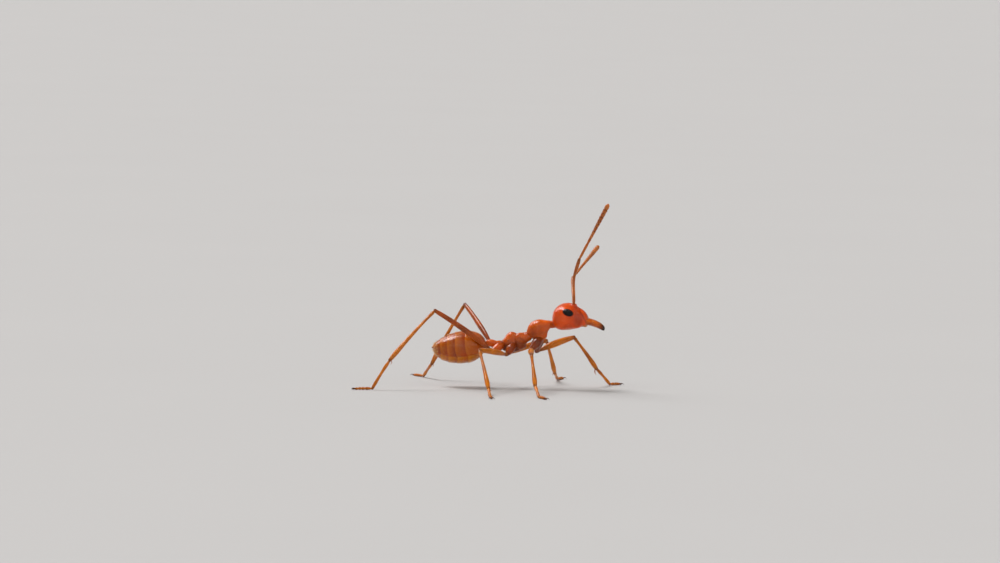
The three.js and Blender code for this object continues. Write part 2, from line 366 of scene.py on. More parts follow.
def both_sides(form):
    """The same form on the left and on the right of the middle plane."""

    def mirrored(points):
        folded = points.copy()
        folded[..., 1] = MIDDLE + np.abs(folded[..., 1] - MIDDLE)
        return form(folded)

    return mirrored


seam = joined(0.2, ball, ball)(np.array([1.0, 0, 0]))
print("where two surfaces cross, a seam 0.2 mm soft fills the corner by", round(-float(seam), 3), "mm")

# %% The skin around a form
REACH = 3.0  # the length of a ray, in mm, which is more than any form's
HALVINGS = 24


def form_skin(name, form, centre, material, rings, sides, shade=None, down=None):
    """A skin on the surface of a form: each ray from the centre is halved until it ends there."""
    polar = np.linspace(0, math.pi, rings + 2)[:, None]
    around = np.linspace(0, 2 * math.pi, sides, endpoint=False)[None, :]
    ways = np.stack([
        -np.cos(polar) + 0 * around,
        np.sin(polar) * np.sin(around),
        np.sin(polar) * np.cos(around),
    ], axis=-1)
    near, far = np.zeros(ways.shape[:2]), np.full(ways.shape[:2], REACH)
    centre = np.array(centre, float)
    for _ in range(HALVINGS):
        half = (near + far) / 2
        outside = form(centre + ways * half[..., None]) > 0
        far = np.where(outside, half, far)
        near = np.where(outside, near, half)
    surface = centre + ways * near[..., None]
    points, faces, places = ring_skin(surface[1:-1], surface[0, 0], surface[-1, 0])
    marks = {
        "shade": np.clip(shade(points), 0, 1) if shade else np.zeros(len(points)),
        "lie": -lie_along(surface[1:-1]),
        "down": np.clip(down(points), 0, 1) if down else np.ones(len(points)),
    }
    piece = add_piece(name, points, faces, material, places, marks)
    size = points.max(axis=0) - points.min(axis=0)
    print(name, "is", np.round(size, 2).tolist(), "mm with", len(faces), "faces")
    return piece


def near_form(form, width):
    """A shade that is 1 on a form's surface and fades out over width: for creases and rims."""
    return lambda points: np.exp(-((form(points) / width) ** 2))


print("each ray finds the surface to", f"{REACH / 2**HALVINGS:.0e}", "mm")

# %% Place forms and pieces by their solids
def wear(piece, slot, *nodes):
    """Puts a finished piece on the body and hides the solids it stands for; slot is not used."""
    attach(piece, "root")
    if nodes:
        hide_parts(*nodes)
    return piece


def shares_of(node):
    """Two helpers that set out forms by shares of a solid's box: along, out from the middle, and up."""
    low, high = box_of(node)
    span = (high - low) * [1, 0.5, 1]
    base = np.array([low[0], MIDDLE, low[2]])

    def at(along, out, up):
        return base + span * [along, out, up]

    def lobe(centre, radii, pitch=0.0, yaw=0.0):
        return ellipsoid(at(*centre), span * radii, pitch, yaw)

    return at, lobe


print("a form at the middle of the head is at", np.round(shares_of("head")[0](0.5, 0, 0.5), 2).tolist())

# %% [markdown]
# ## The finish of the plates
# Cuticle is clear amber over darker flesh, so light goes into it a little way and comes out redder: the
# shader scatters it under the surface, and a thin coat gives the waxy gloss. Its colour drifts from place
# to place and darkens at the joints, painted shade darkens it in seams, creases and pits and on low sides,
# and the fine net of cells in it breaks the highlights. A picture wrapped round the model would give that
# too, but a pattern in space has no seams or edges.

# %% Colours and shader nodes
def tint(code):
    """A colour from its six-digit code, in the linear values that shaders take."""
    channels = [int(code[i:i + 2], 16) / 255 for i in (0, 2, 4)]
    return (*[c / 12.92 if c <= 0.04045 else ((c + 0.055) / 1.055) ** 2.4 for c in channels], 1.0)


def add_node(tree, kind, inputs=None, **settings):
    """A node with its settings, and its inputs set to values or joined to other sockets."""
    node = tree.nodes.new(kind)
    for name, value in settings.items():
        setattr(node, name, value)
    for name, value in (inputs or {}).items():
        socket = node.inputs[name]
        if isinstance(value, bpy.types.NodeSocket):
            tree.links.new(value, socket)
        else:
            socket.default_value = value
    return node


def mix_colours(tree, factor, first, second):
    """A colour that goes from the first to the second as the factor goes from 0 to 1."""
    inputs = {0: factor, 6: first, 7: second}  # the colour sockets of this node are known by number only
    return add_node(tree, "ShaderNodeMix", inputs, data_type="RGBA").outputs[2]


def ranged(tree, value, low, high, from_low=0.0, from_high=1.0):
    """A value stretched from one range to another."""
    ends = {"Value": value, "From Min": from_low, "From Max": from_high, "To Min": low, "To Max": high}
    return add_node(tree, "ShaderNodeMapRange", ends).outputs["Result"]


print("middle grey is", round(tint("808080")[0], 3), "in the linear values of a shader")

# %% Patterns and the shader's settings
def new_material(name):
    """A node material, its tree, and the place on the piece that its patterns are drawn by."""
    material = bpy.data.materials.new(name)
    material.use_nodes = True
    tree = material.node_tree
    return material, tree, add_node(tree, "ShaderNodeTexCoord").outputs["Object"]


def noise(tree, place, size, detail):
    """Clouds from 0 to 1, about size millimetres across."""
    inputs = {"Vector": place, "Scale": 1 / (size * MM), "Detail": detail}
    return add_node(tree, "ShaderNodeTexNoise", inputs).outputs["Fac"]


def bumped(tree, height, strength, relief):
    """The surface's direction, bumped by a pattern of heights that is relief millimetres deep."""
    inputs = {"Height": height, "Strength": strength, "Distance": relief * MM}
    return add_node(tree, "ShaderNodeBump", inputs).outputs["Normal"]


def set_shader(tree, patterns, settings):
    """Joins patterns to the shader's sockets, and sets other sockets to plain values."""
    shader = tree.nodes["Principled BSDF"]
    for name, pattern in patterns.items():
        tree.links.new(pattern, shader.inputs[name])
    for name, value in settings.items():
        shader.inputs[name].default_value = value


print("coat and scattering are plain values on the shader's sockets, so that exports keep them")

# %% The cuticle material
DRIFT = 0.7  # how far apart lighter and darker places are, in mm
GRAIN = 0.05  # the same for the fine grain


def cuticle(
    name, bright, deep, dark, gloss=0.27, glow=0.22, depth=0.16, cell=0.022, relief=0.0026, coat=0.6,
):
    """Amber cuticle. depth is how deep light scatters, cell and relief the size of the net, all in mm."""
    material, tree, place = new_material(name)
    clouds = noise(tree, place, DRIFT, 4.0)
    grain = noise(tree, place, GRAIN, 3.0)
    net = add_node(tree, "ShaderNodeTexVoronoi", {"Vector": place, "Scale": 1 / (cell * MM)})
    # the shade mark mixes in the third colour: dark joints and teeth, pale plate edges, and painted shade in
    # seams, creases, pits and on low sides
    shade = add_node(tree, "ShaderNodeAttribute", attribute_name="shade").outputs["Fac"]
    colour = mix_colours(tree, ranged(tree, clouds, 0, 1, 0.32, 0.68), tint(deep), tint(bright))
    colour = mix_colours(tree, ranged(tree, grain, 0, 0.45, 0.45, 0.75), colour, tint(deep))
    patterns = {
        "Base Color": mix_colours(tree, shade, colour, tint(dark)),
        "Roughness": ranged(tree, grain, gloss - 0.05, gloss + 0.11, 0.3, 0.7),
        "Normal": bumped(tree, net.outputs["Distance"], 0.6, relief),
    }
    settings = {
        "Subsurface Weight": glow, "Subsurface Radius": (1.0, 0.42, 0.12), "Subsurface Scale": depth * MM,
        "Specular IOR Level": 0.08, "Coat Weight": coat, "Coat Roughness": 0.14, "Coat IOR": 1.4,
    }
    set_shader(tree, patterns, settings)
    return material


print("cuticle drifts in colour over", DRIFT, "mm and has a grain of", GRAIN, "mm")

# %% The cuticles of this ant
LIMB = {"glow": 0.3, "depth": 0.15, "cell": 0.014, "relief": 0.0009}  # a limb has a finer, flatter net
HEAD_SHELL = cuticle("red_amber_head", "ee5603", "c83e02", "5a1602", coat=0.8)
TRUNK_SHELL = cuticle("red_amber_trunk", "e66606", "b44603", "481402", coat=0.7)
GASTER_SHELL = cuticle("honey_gaster", "bb4801", "903101", "d8720a", glow=0.25, coat=0.8)
# the belly plates are painted brighter than the back: a painted glow of light coming up through them
BELLY_SHELL = cuticle("gaster_belly_painted_glow", "d06203", "a84902", "e88a0e", glow=0.3, coat=0.8)
THIGH_SHELL = cuticle("amber_thighs", "be5506", "8a3903", "4a1c04", **LIMB)
LEG_SHELL = cuticle("honey_legs", "dc7e10", "ac5a06", "5e2806", **LIMB)
ANTENNA_SHELL = cuticle(
    "brown_amber_antennae", "cf7630", "a25018", "561f0a", gloss=0.34, glow=0.3, cell=0.012,
)
JAW_SHELL = cuticle("dark_toothed_jaws", "cc6210", "a04008", "170703", gloss=0.24, glow=0.2)
MEMBRANE = cuticle("soft_joint_skin", "e09a48", "bc7230", "723810", gloss=0.5, glow=0.3, coat=0.1)
shells = (
    HEAD_SHELL, TRUNK_SHELL, GASTER_SHELL, BELLY_SHELL, THIGH_SHELL, LEG_SHELL, ANTENNA_SHELL, JAW_SHELL,
)
print("cuticles:", [shell.name for shell in shells], "and", MEMBRANE.name)

# %% [markdown]
# ## The head
# The head of a major worker is heart-shaped from above: two full lobes behind, cheeks that narrow to the
# jaws, and in front a convex shield, the clypeus, that overhangs them. The antennae stand in two round
# sockets, each beside a short ridge. It is one plate, so it is one form: lobes joined with soft seams, low
# swellings for the eyes to sit on, then the pits and a shallow valley down each cheek. The crease round the
# clypeus is left by a tighter seam. Places are shares of the solid's box, so the head stays as big as it.

# %% The joints of the antennae and the eyes
SIDES = {"left": 1, "right": -1}  # which way each side lies along Y


def antenna_joints(side):
    """The named joints of one antenna: root, bend, elbow and tip."""
    scape = corners("antenna_scape_" + side)
    elbow, tip = limb_joints("antenna_funiculus_" + side, scape.mean(axis=0))
    far = scape[np.argmax(np.linalg.norm(scape - elbow, axis=1))]
    root = far + BALL * unit(elbow - far)
    share = (scape - root) @ (elbow - root) / np.sum((elbow - root) ** 2)
    bend = scape[(share > 0.45) & (share < 0.75)].mean(axis=0)
    return {"root": root, "bend": bend, "elbow": elbow, "tip": tip}


def eye_shape(side):
    """An eye's centre, its three axes from the longest to the shortest, and its half sizes along them."""
    points = corners("eye_" + side)
    centre = points.mean(axis=0)
    axes = np.linalg.svd(points - centre)[2]
    return centre, axes, np.abs((points - centre) @ axes.T).max(axis=0)


antenna_places = {side: antenna_joints(side) for side in SIDES}
eyes = {side: eye_shape(side) for side in SIDES}
for side, place in antenna_places.items():
    print("antenna", side, {name: np.round(point, 2).tolist() for name, point in place.items()})
print("eye half sizes:", np.round(eyes["left"][2], 2).tolist())

# %% The lobes and ridges of the head
at, lobe = shares_of("head")
root = antenna_places["left"]["root"]
eye_centre, eye_axes, eye_half = eyes["left"]
back_of_head = joined(
    0.14,
    lobe((0.41, 0, 0.515), (0.405, 0.93, 0.465)),
    both_sides(lobe((0.29, 0.44, 0.485), (0.285, 0.54, 0.39))),
    both_sides(lobe((0.60, 0.40, 0.42), (0.285, 0.44, 0.30), yaw=-12)),
    both_sides(lobe((0.25, 0.30, 0.34), (0.24, 0.44, 0.27))),
)
clypeus = lobe((0.768, 0, 0.542), (0.262, 0.60, 0.20), pitch=-48)
cheek_corner = both_sides(lobe((0.84, 0.42, 0.37), (0.085, 0.15, 0.14)))
ridge = both_sides(rod(root + [-0.32, -0.10, 0.01], root + [0.14, -0.06, -0.07], 0.045))
socket_rim = both_sides(ellipsoid(root + [0, 0, -0.04], (0.16, 0.15, 0.11)))
eye_out = eye_axes[np.argmax(np.abs(eye_axes[:, 1]))]
eye_out = eye_out * np.sign(eye_out[1])
orbit = both_sides(ellipsoid(eye_centre - 0.10 * eye_out, eye_half * 1.10 + 0.02, axes=eye_axes))
face = joined(0.045, back_of_head, clypeus)
face = joined(0.07, face, ridge, socket_rim, cheek_corner, orbit)
print("the antenna sockets are", round(2 * float(root[1] - MIDDLE), 2), "mm apart")

# %% The pits and hollows of the head
eye_line = both_sides(ellipsoid(eye_centre, eye_half, axes=eye_axes))
antenna_pit = both_sides(ellipsoid(root + [0, 0, 0.05], (0.115, 0.11, 0.09)))
neck_hollow = lobe((-0.03, 0, 0.30), (0.10, 0.26, 0.20))
nape = lobe((-0.13, 0, 0.70), (0.18, 0.36, 0.5))
mouth_hollow = lobe((1.00, 0, 0.16), (0.22, 0.34, 0.15))
cheek_fold = both_sides(rod(at(0.69, 0.94, 0.80), at(0.72, 0.94, 0.10), 0.17))
head_form = hollowed(0.045, face, antenna_pit, neck_hollow)
head_form = hollowed(0.08, head_form, nape, mouth_hollow)
head_form = hollowed(0.14, head_form, cheek_fold)
print("the head is hollowed at its sockets, neck, nape, mouth and cheeks")

# %% The head capsule, its shade and its down
HEAD_LENGTH = 2.06
# painted shade in the valleys of the cheeks deepens towards the bottom over this height
DARK_LOW = 0.4  # the valleys of the cheeks darken further over this height, in mm
FACE_DEPTH = 0.5  # the down gets shorter over this length of the face, in mm


def head_shade(points):
    """Painted shade: darker round the sockets and the mouth, in the crease behind the clypeus and down the
    cheeks.
    """
    crease = np.exp(-((back_of_head(points) - clypeus(points)) / 0.035) ** 2)
    rims = near_form(antenna_pit, 0.03)(points) + near_form(eye_line, 0.02)(points)
    low = np.clip((at(0, 0, 0.55)[2] - points[:, 2]) / DARK_LOW, 0, 1)
    rims = rims + (0.5 + 0.35 * low) * near_form(cheek_fold, 0.15)(points)
    share = np.clip((points[:, 0] - at(0, 0, 0)[0]) / HEAD_LENGTH, 0, 1)
    front = smooth(((0, 0), (0.8, 0), (0.92, 0.1), (1, 0.35)), share)
    return 0.5 * crease * (points[:, 0] > at(0.6, 0, 0)[0]) + 0.75 * rims + front


def head_down(points):
    """Full on the back of the head, half as long and thick on the face, none on the eyes and sockets."""
    on_face = 1 - 0.5 * np.clip((points[:, 0] - at(0.45, 0, 0)[0]) / FACE_DEPTH, 0, 1)
    return on_face - near_form(eye_line, 0.05)(points) - near_form(antenna_pit, 0.06)(points)


head = form_skin(
    "head_capsule", head_form, at(0.47, 0, 0.5), HEAD_SHELL, rings=210, sides=270,
    shade=head_shade, down=head_down,
)
wear(head, "head_cuticle", "head")

# %% [markdown]
# ## Copies set out by Geometry Nodes
# An eye is hundreds of equal lenses, a feeler is a chain of beads and a foot is a chain of little hearts.
# Each needs one small shape and a rule for where its copies go. A node tree does that: it stands a copy of
# the template on every point, turned along that point's own directions and scaled by its own size. The
# copies are made real at the end, because an export would lose them, and the result is a plain mesh.

# %% Parts of a node tree
def named(tree, name, kind):
    """A mark of the incoming mesh, read by its name."""
    node = add_node(tree, "GeometryNodeInputNamedAttribute", {"Name": name}, data_type=kind)
    return node.outputs["Attribute"]


def new_tree(name, inputs):
    """A geometry node tree with a geometry in and out, and the given named inputs."""
    tree = bpy.data.node_groups.new(name, "GeometryNodeTree")
    tree.interface.new_socket("Geometry", in_out="INPUT", socket_type="NodeSocketGeometry")
    tree.interface.new_socket("Geometry", in_out="OUTPUT", socket_type="NodeSocketGeometry")
    for label, kind in inputs.items():
        tree.interface.new_socket(label, in_out="INPUT", socket_type="NodeSocket" + kind)
    return tree, add_node(tree, "NodeGroupInput").outputs


def turned_along(tree, outward, sideways):
    """A turn that points Z along one direction, and X as nearly as it can along another."""
    turn = add_node(tree, "FunctionNodeAlignRotationToVector", {"Vector": outward}, axis="Z")
    inputs = {"Rotation": turn.outputs[0], "Vector": sideways}
    return add_node(tree, "FunctionNodeAlignRotationToVector", inputs, axis="X", pivot_axis="Z").outputs[0]


def finish_tree(tree, points, template, turn, size, material):
    """Copies the template to every point, makes the copies real, paints them and sends them out."""
    shape = add_node(tree, "GeometryNodeObjectInfo", {"Object": template})
    inputs = {"Points": points, "Instance": shape.outputs["Geometry"], "Rotation": turn, "Scale": size}
    copies = add_node(tree, "GeometryNodeInstanceOnPoints", inputs)
    real = add_node(tree, "GeometryNodeRealizeInstances", {"Geometry": copies.outputs[0]})
    painted = add_node(tree, "GeometryNodeSetMaterial", {"Geometry": real.outputs[0], "Material": material})
    add_node(tree, "NodeGroupOutput", {"Geometry": painted.outputs[0]})


def plain_mesh(host, tree, settings):
    """Runs a tree on a host object, and returns the result as a mesh without modifiers."""
    modifier = host.modifiers.new("nodes", "NODES")
    modifier.node_group = tree
    for item in tree.interface.items_tree:
        if item.in_out == "INPUT" and item.name in settings:
            modifier[item.identifier] = settings[item.name]
    host.update_tag()
    depsgraph = bpy.context.evaluated_depsgraph_get()
    mesh = bpy.data.meshes.new_from_object(host.evaluated_get(depsgraph), depsgraph=depsgraph)
    host.modifiers.remove(modifier)
    return mesh


print("a tree reads marks, turns and scales copies, and ends with real, painted meshes")

# %% The set-out tree
def set_out_tree():
    """Stands a copy of the template on every point, by the marks outward, sideways and size."""
    tree, given = new_tree("set_out", {"Template": "Object", "Scale": "Float", "Material": "Material"})
    outward, sideways = (named(tree, name, "FLOAT_VECTOR") for name in ("outward", "sideways"))
    turn = turned_along(tree, outward, sideways)
    inputs = {0: named(tree, "size", "FLOAT_VECTOR"), "Scale": given["Scale"]}
    size = add_node(tree, "ShaderNodeVectorMath", inputs, operation="SCALE").outputs[0]
    finish_tree(tree, given["Geometry"], given["Template"], turn, size, given["Material"])
    return tree


SET_OUT = set_out_tree()


def set_out(points, outward, sideways, sizes, template, material):
    """The mesh of one template copied to every point, each with its own directions and size in mm."""
    marks = {"outward": outward, "sideways": sideways, "size": sizes}
    host = add_piece("points_to_fill", points, [], material, marks=marks)
    mesh = plain_mesh(host, SET_OUT, {"Template": template, "Scale": 1.0, "Material": material})
    bpy.data.objects.remove(host)
    return mesh


def mesh_arrays(mesh):
    """The points in millimetres, and the faces, of a mesh."""
    flat = np.empty(3 * len(mesh.vertices))
    mesh.vertices.foreach_get("co", flat)
    return flat.reshape(-1, 3) / MM, [list(face.vertices) for face in mesh.polygons]


print("the set-out tree has", len(SET_OUT.nodes), "nodes")

# %% Turned templates
def turned_profile(stations, sides, height_steps):
    """The points and faces of a closed lathed shape, one high, from its (height, radius) stations."""
    height = np.linspace(0, 1, height_steps)
    radius = smooth(stations, height)
    around = np.linspace(0, 2 * math.pi, sides, endpoint=False)
    rings = np.stack([
        radius[:, None] * np.cos(around),
        radius[:, None] * np.sin(around),
        np.repeat(height[:, None], sides, axis=1),
    ], axis=-1)
    points, faces, _ = ring_skin(rings, np.array([0, 0, 0.0]), np.array([0, 0, 1.0]))
    return points, faces


def new_template(name, stations, sides, height_steps, material):
    """A small piece to copy, one high along Z, which is removed when its copies are made."""
    piece = add_piece(name, *turned_profile(stations, sides, height_steps), material)
    print(name, "has", len(piece.data.polygons), "faces")
    return piece


print("a turned shape of 3 steps and 6 sides has", len(turned_profile([(0, 1), (1, 1)], 6, 3)[1]), "faces")

# %% [markdown]
# ## The eyes
# Each compound eye is a smooth black swelling set with several hundred lenses packed like a honeycomb.
# A bump pattern would be lighter, but the lenses catch the light one by one, so they are real domes. The
# sunflower spiral spaces points evenly over a ball, which is close to how the lenses pack.

# %% The eye material
def eye_black():
    """Black with a trace of brown, glossy under a clear coat."""
    material, tree, place = new_material("black_eye_lenses")
    clouds = noise(tree, place, 0.12, 3.0)
    patterns = {
        "Base Color": mix_colours(tree, clouds, tint("030202"), tint("100604")),
        "Roughness": ranged(tree, clouds, 0.12, 0.26),
    }
    settings = {
        "Specular IOR Level": 0.1, "Coat Weight": 0.6, "Coat Roughness": 0.08, "Coat IOR": 1.35,
    }
    set_shader(tree, patterns, settings)
    return material


EYE_BLACK = eye_black()
print("eye material:", EYE_BLACK.name)

# %% The lenses of an eye
LENSES_ALL_ROUND = 1500  # enough for the whole ball; those on the side of the head are left out
FACING_IN = -0.2  # a lens is left out below this, where 1 faces straight out and -1 straight in
INSET = 0.985  # the size of the ball under the lenses, as a share of the eye's
LENS_WIDTH = 1.06  # of the width at which round lenses would just touch
LENS_HEIGHT = 0.32  # of a lens's radius
LENS = new_template("lens_template", [(0, 1.02), (0.45, 0.86), (0.8, 0.5), (1, 0.2)], 6, 4, EYE_BLACK)


def eye_lenses(side, sign):
    """The points and faces of an eye's lenses, spaced by the sunflower spiral."""
    centre, axes, half = eyes[side]
    count = np.arange(LENSES_ALL_ROUND) + 0.5
    height = 1 - 2 * count / LENSES_ALL_ROUND
    turn = count * math.pi * (3 - math.sqrt(5))
    level = np.sqrt(1 - height**2)
    ball = np.stack([level * np.cos(turn), level * np.sin(turn), height], axis=-1)
    skin_half = half * INSET
    spots = centre + (ball * skin_half) @ axes
    outward = (ball / skin_half) @ axes
    outward /= np.linalg.norm(outward, axis=1, keepdims=True)
    shown = outward[:, 1] * sign > FACING_IN
    area = 4 * math.pi * (half[0] * half[1] * half[2]) ** (2 / 3)
    radius = math.sqrt(area / LENSES_ALL_ROUND / math.pi) * LENS_WIDTH
    sizes = np.tile([radius, radius, radius * LENS_HEIGHT], (shown.sum(), 1))
    aside = np.tile(axes[0], (shown.sum(), 1))
    print("eye_" + side, "has", shown.sum(), "lenses of", round(2 * radius, 4), "mm")
    return mesh_arrays(set_out(spots[shown], outward[shown], aside, sizes, LENS, EYE_BLACK))


print("a lens stands", LENS_HEIGHT, "of its radius high")

# %% The compound eyes
EYE_RINGS = 32
EYE_SIDES = 48


def eye_ball(side):
    """The points and faces of the smooth ball under the lenses, as rings round its longest axis."""
    centre, axes, half = eyes[side]
    skin_half = half * INSET
    polar = np.linspace(0, math.pi, EYE_RINGS + 2)[1:-1, None]
    around = np.linspace(0, 2 * math.pi, EYE_SIDES, endpoint=False)[None, :]
    rows = np.stack([
        np.cos(polar) + 0 * around,
        np.sin(polar) * np.cos(around),
        np.sin(polar) * np.sin(around),
    ], axis=-1)
    ends = [centre + (np.array([pole, 0, 0]) * skin_half) @ axes for pole in (1.0, -1.0)]
    return ring_skin(centre + (rows * skin_half) @ axes, *ends)[:2]


for side, sign in SIDES.items():
    ball_points, ball_faces = eye_ball(side)
    lens_points, lens_faces = eye_lenses(side, sign)
    faces = ball_faces + [[corner + len(ball_points) for corner in face] for face in lens_faces]
    eye = add_piece(f"eye_{side}_facets", np.vstack([ball_points, lens_points]), faces, EYE_BLACK)
    wear(eye, "eye_facets", "eye_" + side)
bpy.data.objects.remove(LENS)

# %% [markdown]
# ## The jaws
# A mandible is a flat triangular blade. Its outer edge bows, and its inner edge carries a row of small
# saw teeth and ends in one long hooked tooth. Closed, the two blades meet on the middle plane. The blade
# is a sheet with an upper and a lower face, drawn between the two edges, so the teeth are in the edge
# itself and stay sharp.

# %% A sheet with two faces
def sheet_skin(upper, lower):
    """Two matching grids of points, joined round their border into one closed skin."""
    rows, columns = upper.shape[:2]
    points = np.vstack([upper.reshape(-1, 3), lower.reshape(-1, 3)])
    i, j = np.meshgrid(np.arange(rows - 1), np.arange(columns - 1), indexing="ij")
    corner = i * columns + j
    top = np.stack([corner, corner + 1, corner + columns + 1, corner + columns], -1).reshape(-1, 4)
    under = top[:, ::-1] + rows * columns
    grid = np.arange(rows * columns).reshape(rows, columns)
    border = np.concatenate([grid[0, :-1], grid[:-1, -1], grid[-1, :0:-1], grid[:0:-1, 0]])
    after = np.roll(border, -1)
    rim = np.stack([after, border, border + rows * columns, after + rows * columns], -1)
    faces = np.vstack([top, under, rim])
    index = faces % (rows * columns)
    across = (index % columns) / (columns - 1)
    along = (index // columns) / (rows - 1)
    places = np.stack([across, along * 0.48 + 0.5 * (faces >= rows * columns)], -1).reshape(-1, 2)
    return points, *turn_outwards(points, faces.tolist(), places)


print("a sheet of 2 by 2 points closes into", len(sheet_skin(square[:2, :2], square[1:, :2])[1]), "faces")

# %% The edges of a jaw
JAW_START = -0.22  # the blade starts this share of its length behind the hinge, inside the head
TEETH = 11
SAW_START, SAW_SPAN = 0.30, 0.58  # where the saw starts and how long it is, as shares of the length
TOOTH_POINT = 0.62  # how far along itself each tooth has its point
TOOTH_DEPTH = 0.05
TOOTH_SIZE = ((-0.22, 0), (0.26, 0.0), (0.34, 0.5), (0.6, 0.8), (0.8, 1.2), (0.88, 1.5), (0.93, 0), (1, 0))
OUTER_EDGE = ((-0.22, 0.30), (-0.1, 0.42), (0.1, 0.51), (0.35, 0.53), (0.65, 0.40), (0.88, 0.20), (1, 0.035))
INNER_EDGE = (
    (-0.22, 0.2), (-0.1, 0.22), (0.1, 0.16), (0.3, -0.01), (0.84, -0.014), (0.9, 0.012), (1, 0.012),
)
PAST_MIDDLE = 0.018  # the most that the inner edge goes past the middle plane
NARROWEST = 0.02


def jaw_edges(along, meshing):
    """How far out the two edges of the blade are, and the height of the teeth on the inner one."""
    inner = np.maximum(smooth(INNER_EDGE, along), -PAST_MIDDLE)
    outer = np.maximum(smooth(OUTER_EDGE, along), inner + NARROWEST)
    saw = np.abs(((along - SAW_START) / SAW_SPAN * TEETH + meshing) % 1 - TOOTH_POINT) / TOOTH_POINT
    return inner, outer, TOOTH_DEPTH * np.clip(smooth(TOOTH_SIZE, along), 0, 2) * (1 - saw)


longest = TOOTH_DEPTH * max(size for _, size in TOOTH_SIZE)
print("a jaw has", TEETH, "teeth, the longest", round(longest, 3), "mm long")

# %% The blades of the jaws
JAW_LENGTH = 1.2
JAW_FALL = math.radians(15)  # how far the blade points below level
JAW_THICKNESS = 0.4
JAW_ROUNDING = 0.05  # how far before the end of its solid the blade ends
JAW_HEIGHT = (
    (-0.22, 0.15), (-0.1, 0.18), (0.25, 0.18), (0.6, 0.17),
    (0.84, 0.15), (0.93, 0.125), (0.975, 0.085), (1, 0.025),
)
SHARP = 0.006  # half the thickness that is left at the sharp edges


def jaw(side, sign):
    """One jaw as a blade from inside the head to its hooked tip, lying along the middle plane."""
    low, high = box_of("mandible_" + side)
    axis = np.array([math.cos(JAW_FALL), 0, -math.sin(JAW_FALL)])
    lift = np.array([math.sin(JAW_FALL), 0, math.cos(JAW_FALL)])
    tip = np.array([high[0] - JAW_ROUNDING, MIDDLE, low[2]]) + lift * JAW_THICKNESS / 2
    hinge = tip - axis * JAW_LENGTH
    along = np.linspace(JAW_START, 1.0, 210)[:, None]
    across = np.linspace(0, 1, 25)[None, :]
    meshing = 0 if sign > 0 else 0.5  # the teeth of one jaw close into the gaps of the other
    inner, outer, saw = jaw_edges(along, meshing)
    out = inner + (outer - inner) * across + saw * np.clip(1 - across / 0.16, 0, 1)
    body = np.sin(math.pi * across**0.75) ** 0.7
    thick = smooth(JAW_HEIGHT, along)
    ridge = 1 + 0.05 * np.cos(14 * across)
    droop = 0.13 * np.clip(along, 0, 1) ** 3 - 0.035 * np.sin(math.pi * np.clip(along, 0, 1))
    spine = hinge + axis * JAW_LENGTH * along[..., None]
    sideways = np.array([0, sign, 0]) * out[..., None]
    upper = spine + sideways + lift * (thick * body * ridge + SHARP - droop)[..., None]
    lower = spine + sideways + lift * (-0.85 * thick * body - SHARP - droop)[..., None]
    points, faces, places = sheet_skin(upper, lower)
    teeth = np.exp(-(((out - inner) / 0.07) ** 2)) * (along > 0.28)
    shade = np.clip(0.9 * teeth + 0.95 * np.clip((along - 0.56) / 0.36, 0, 1) ** 1.3, 0, 1)
    down = (across > 0.45) * (along < 0.85) * 1.0
    marks = {
        "shade": np.tile(shade, (2, 1)).ravel(),
        "lie": np.tile(axis, (len(points), 1)),
        "down": np.tile(down, (2, 1)).ravel(),
    }
    print("mandible_" + side, "has", TEETH, "saw teeth and a hook,", len(faces), "faces")
    return add_piece(f"mandible_{side}_blade", points, faces, JAW_SHELL, places, marks)


jaws = {}
for side, sign in SIDES.items():
    jaws[side] = wear(jaw(side, sign), "mandible_cuticle", "mandible_" + side)

# %% [markdown]
# ## The mouth
# Behind the jaws lie the lips and the small feelers of the mouth, the palps. They close the opening under
# the clypeus, and are short and tucked under the head in this ant. The lips are one form of soft skin, and
# each palp is a tube whose thickness rises and falls like a row of beads.

# %% Lips and palps
lip_form = joined(
    0.04,
    lobe((0.89, 0, 0.315), (0.085, 0.26, 0.07), pitch=-6),
    both_sides(lobe((0.86, 0.17, 0.29), (0.08, 0.12, 0.06))),
    lobe((0.80, 0, 0.235), (0.12, 0.20, 0.07)),
    lobe((0.955, 0, 0.32), (0.075, 0.15, 0.06), pitch=-12),
)
lip = form_skin(
    "mouth_lip", lip_form, at(0.86, 0, 0.27), MEMBRANE, rings=40, sides=48,
    down=lambda points: np.zeros(len(points)),
)
wear(lip, "mandible_cuticle")
PALP_ROUTE = ((0.82, 0.20, 0.235), (0.86, 0.24, 0.185), (0.90, 0.22, 0.185), (0.93, 0.16, 0.215))
palp_beads = [
    (share, 0.024 - 0.008 * share + 0.005 * math.cos(share * 8 * math.pi)) for share in np.linspace(0, 1, 17)
]
for side, sign in SIDES.items():
    knots = [at(along, sign * out, up) for along, out, up in PALP_ROUTE]
    palp = tube(f"palp_{side}", smooth_path(knots, 33), palp_beads, LEG_SHELL, sides=12)
    wear(palp, "mandible_cuticle")
print("lips and two palps under the jaws")

# %% [markdown]
# ## The antennae
# An antenna is a long stalk, the scape, that turns in its socket on a small ball, then an elbow, then a
# whip of eleven joints. The first joint of the whip is the longest, and the last ones are a little
# stouter. The stalk is a tube on the line of its solid. The joints of the whip are copies of one bead, set
# out along the line of theirs, and only the last has a shape of its own, with a rounded tip.

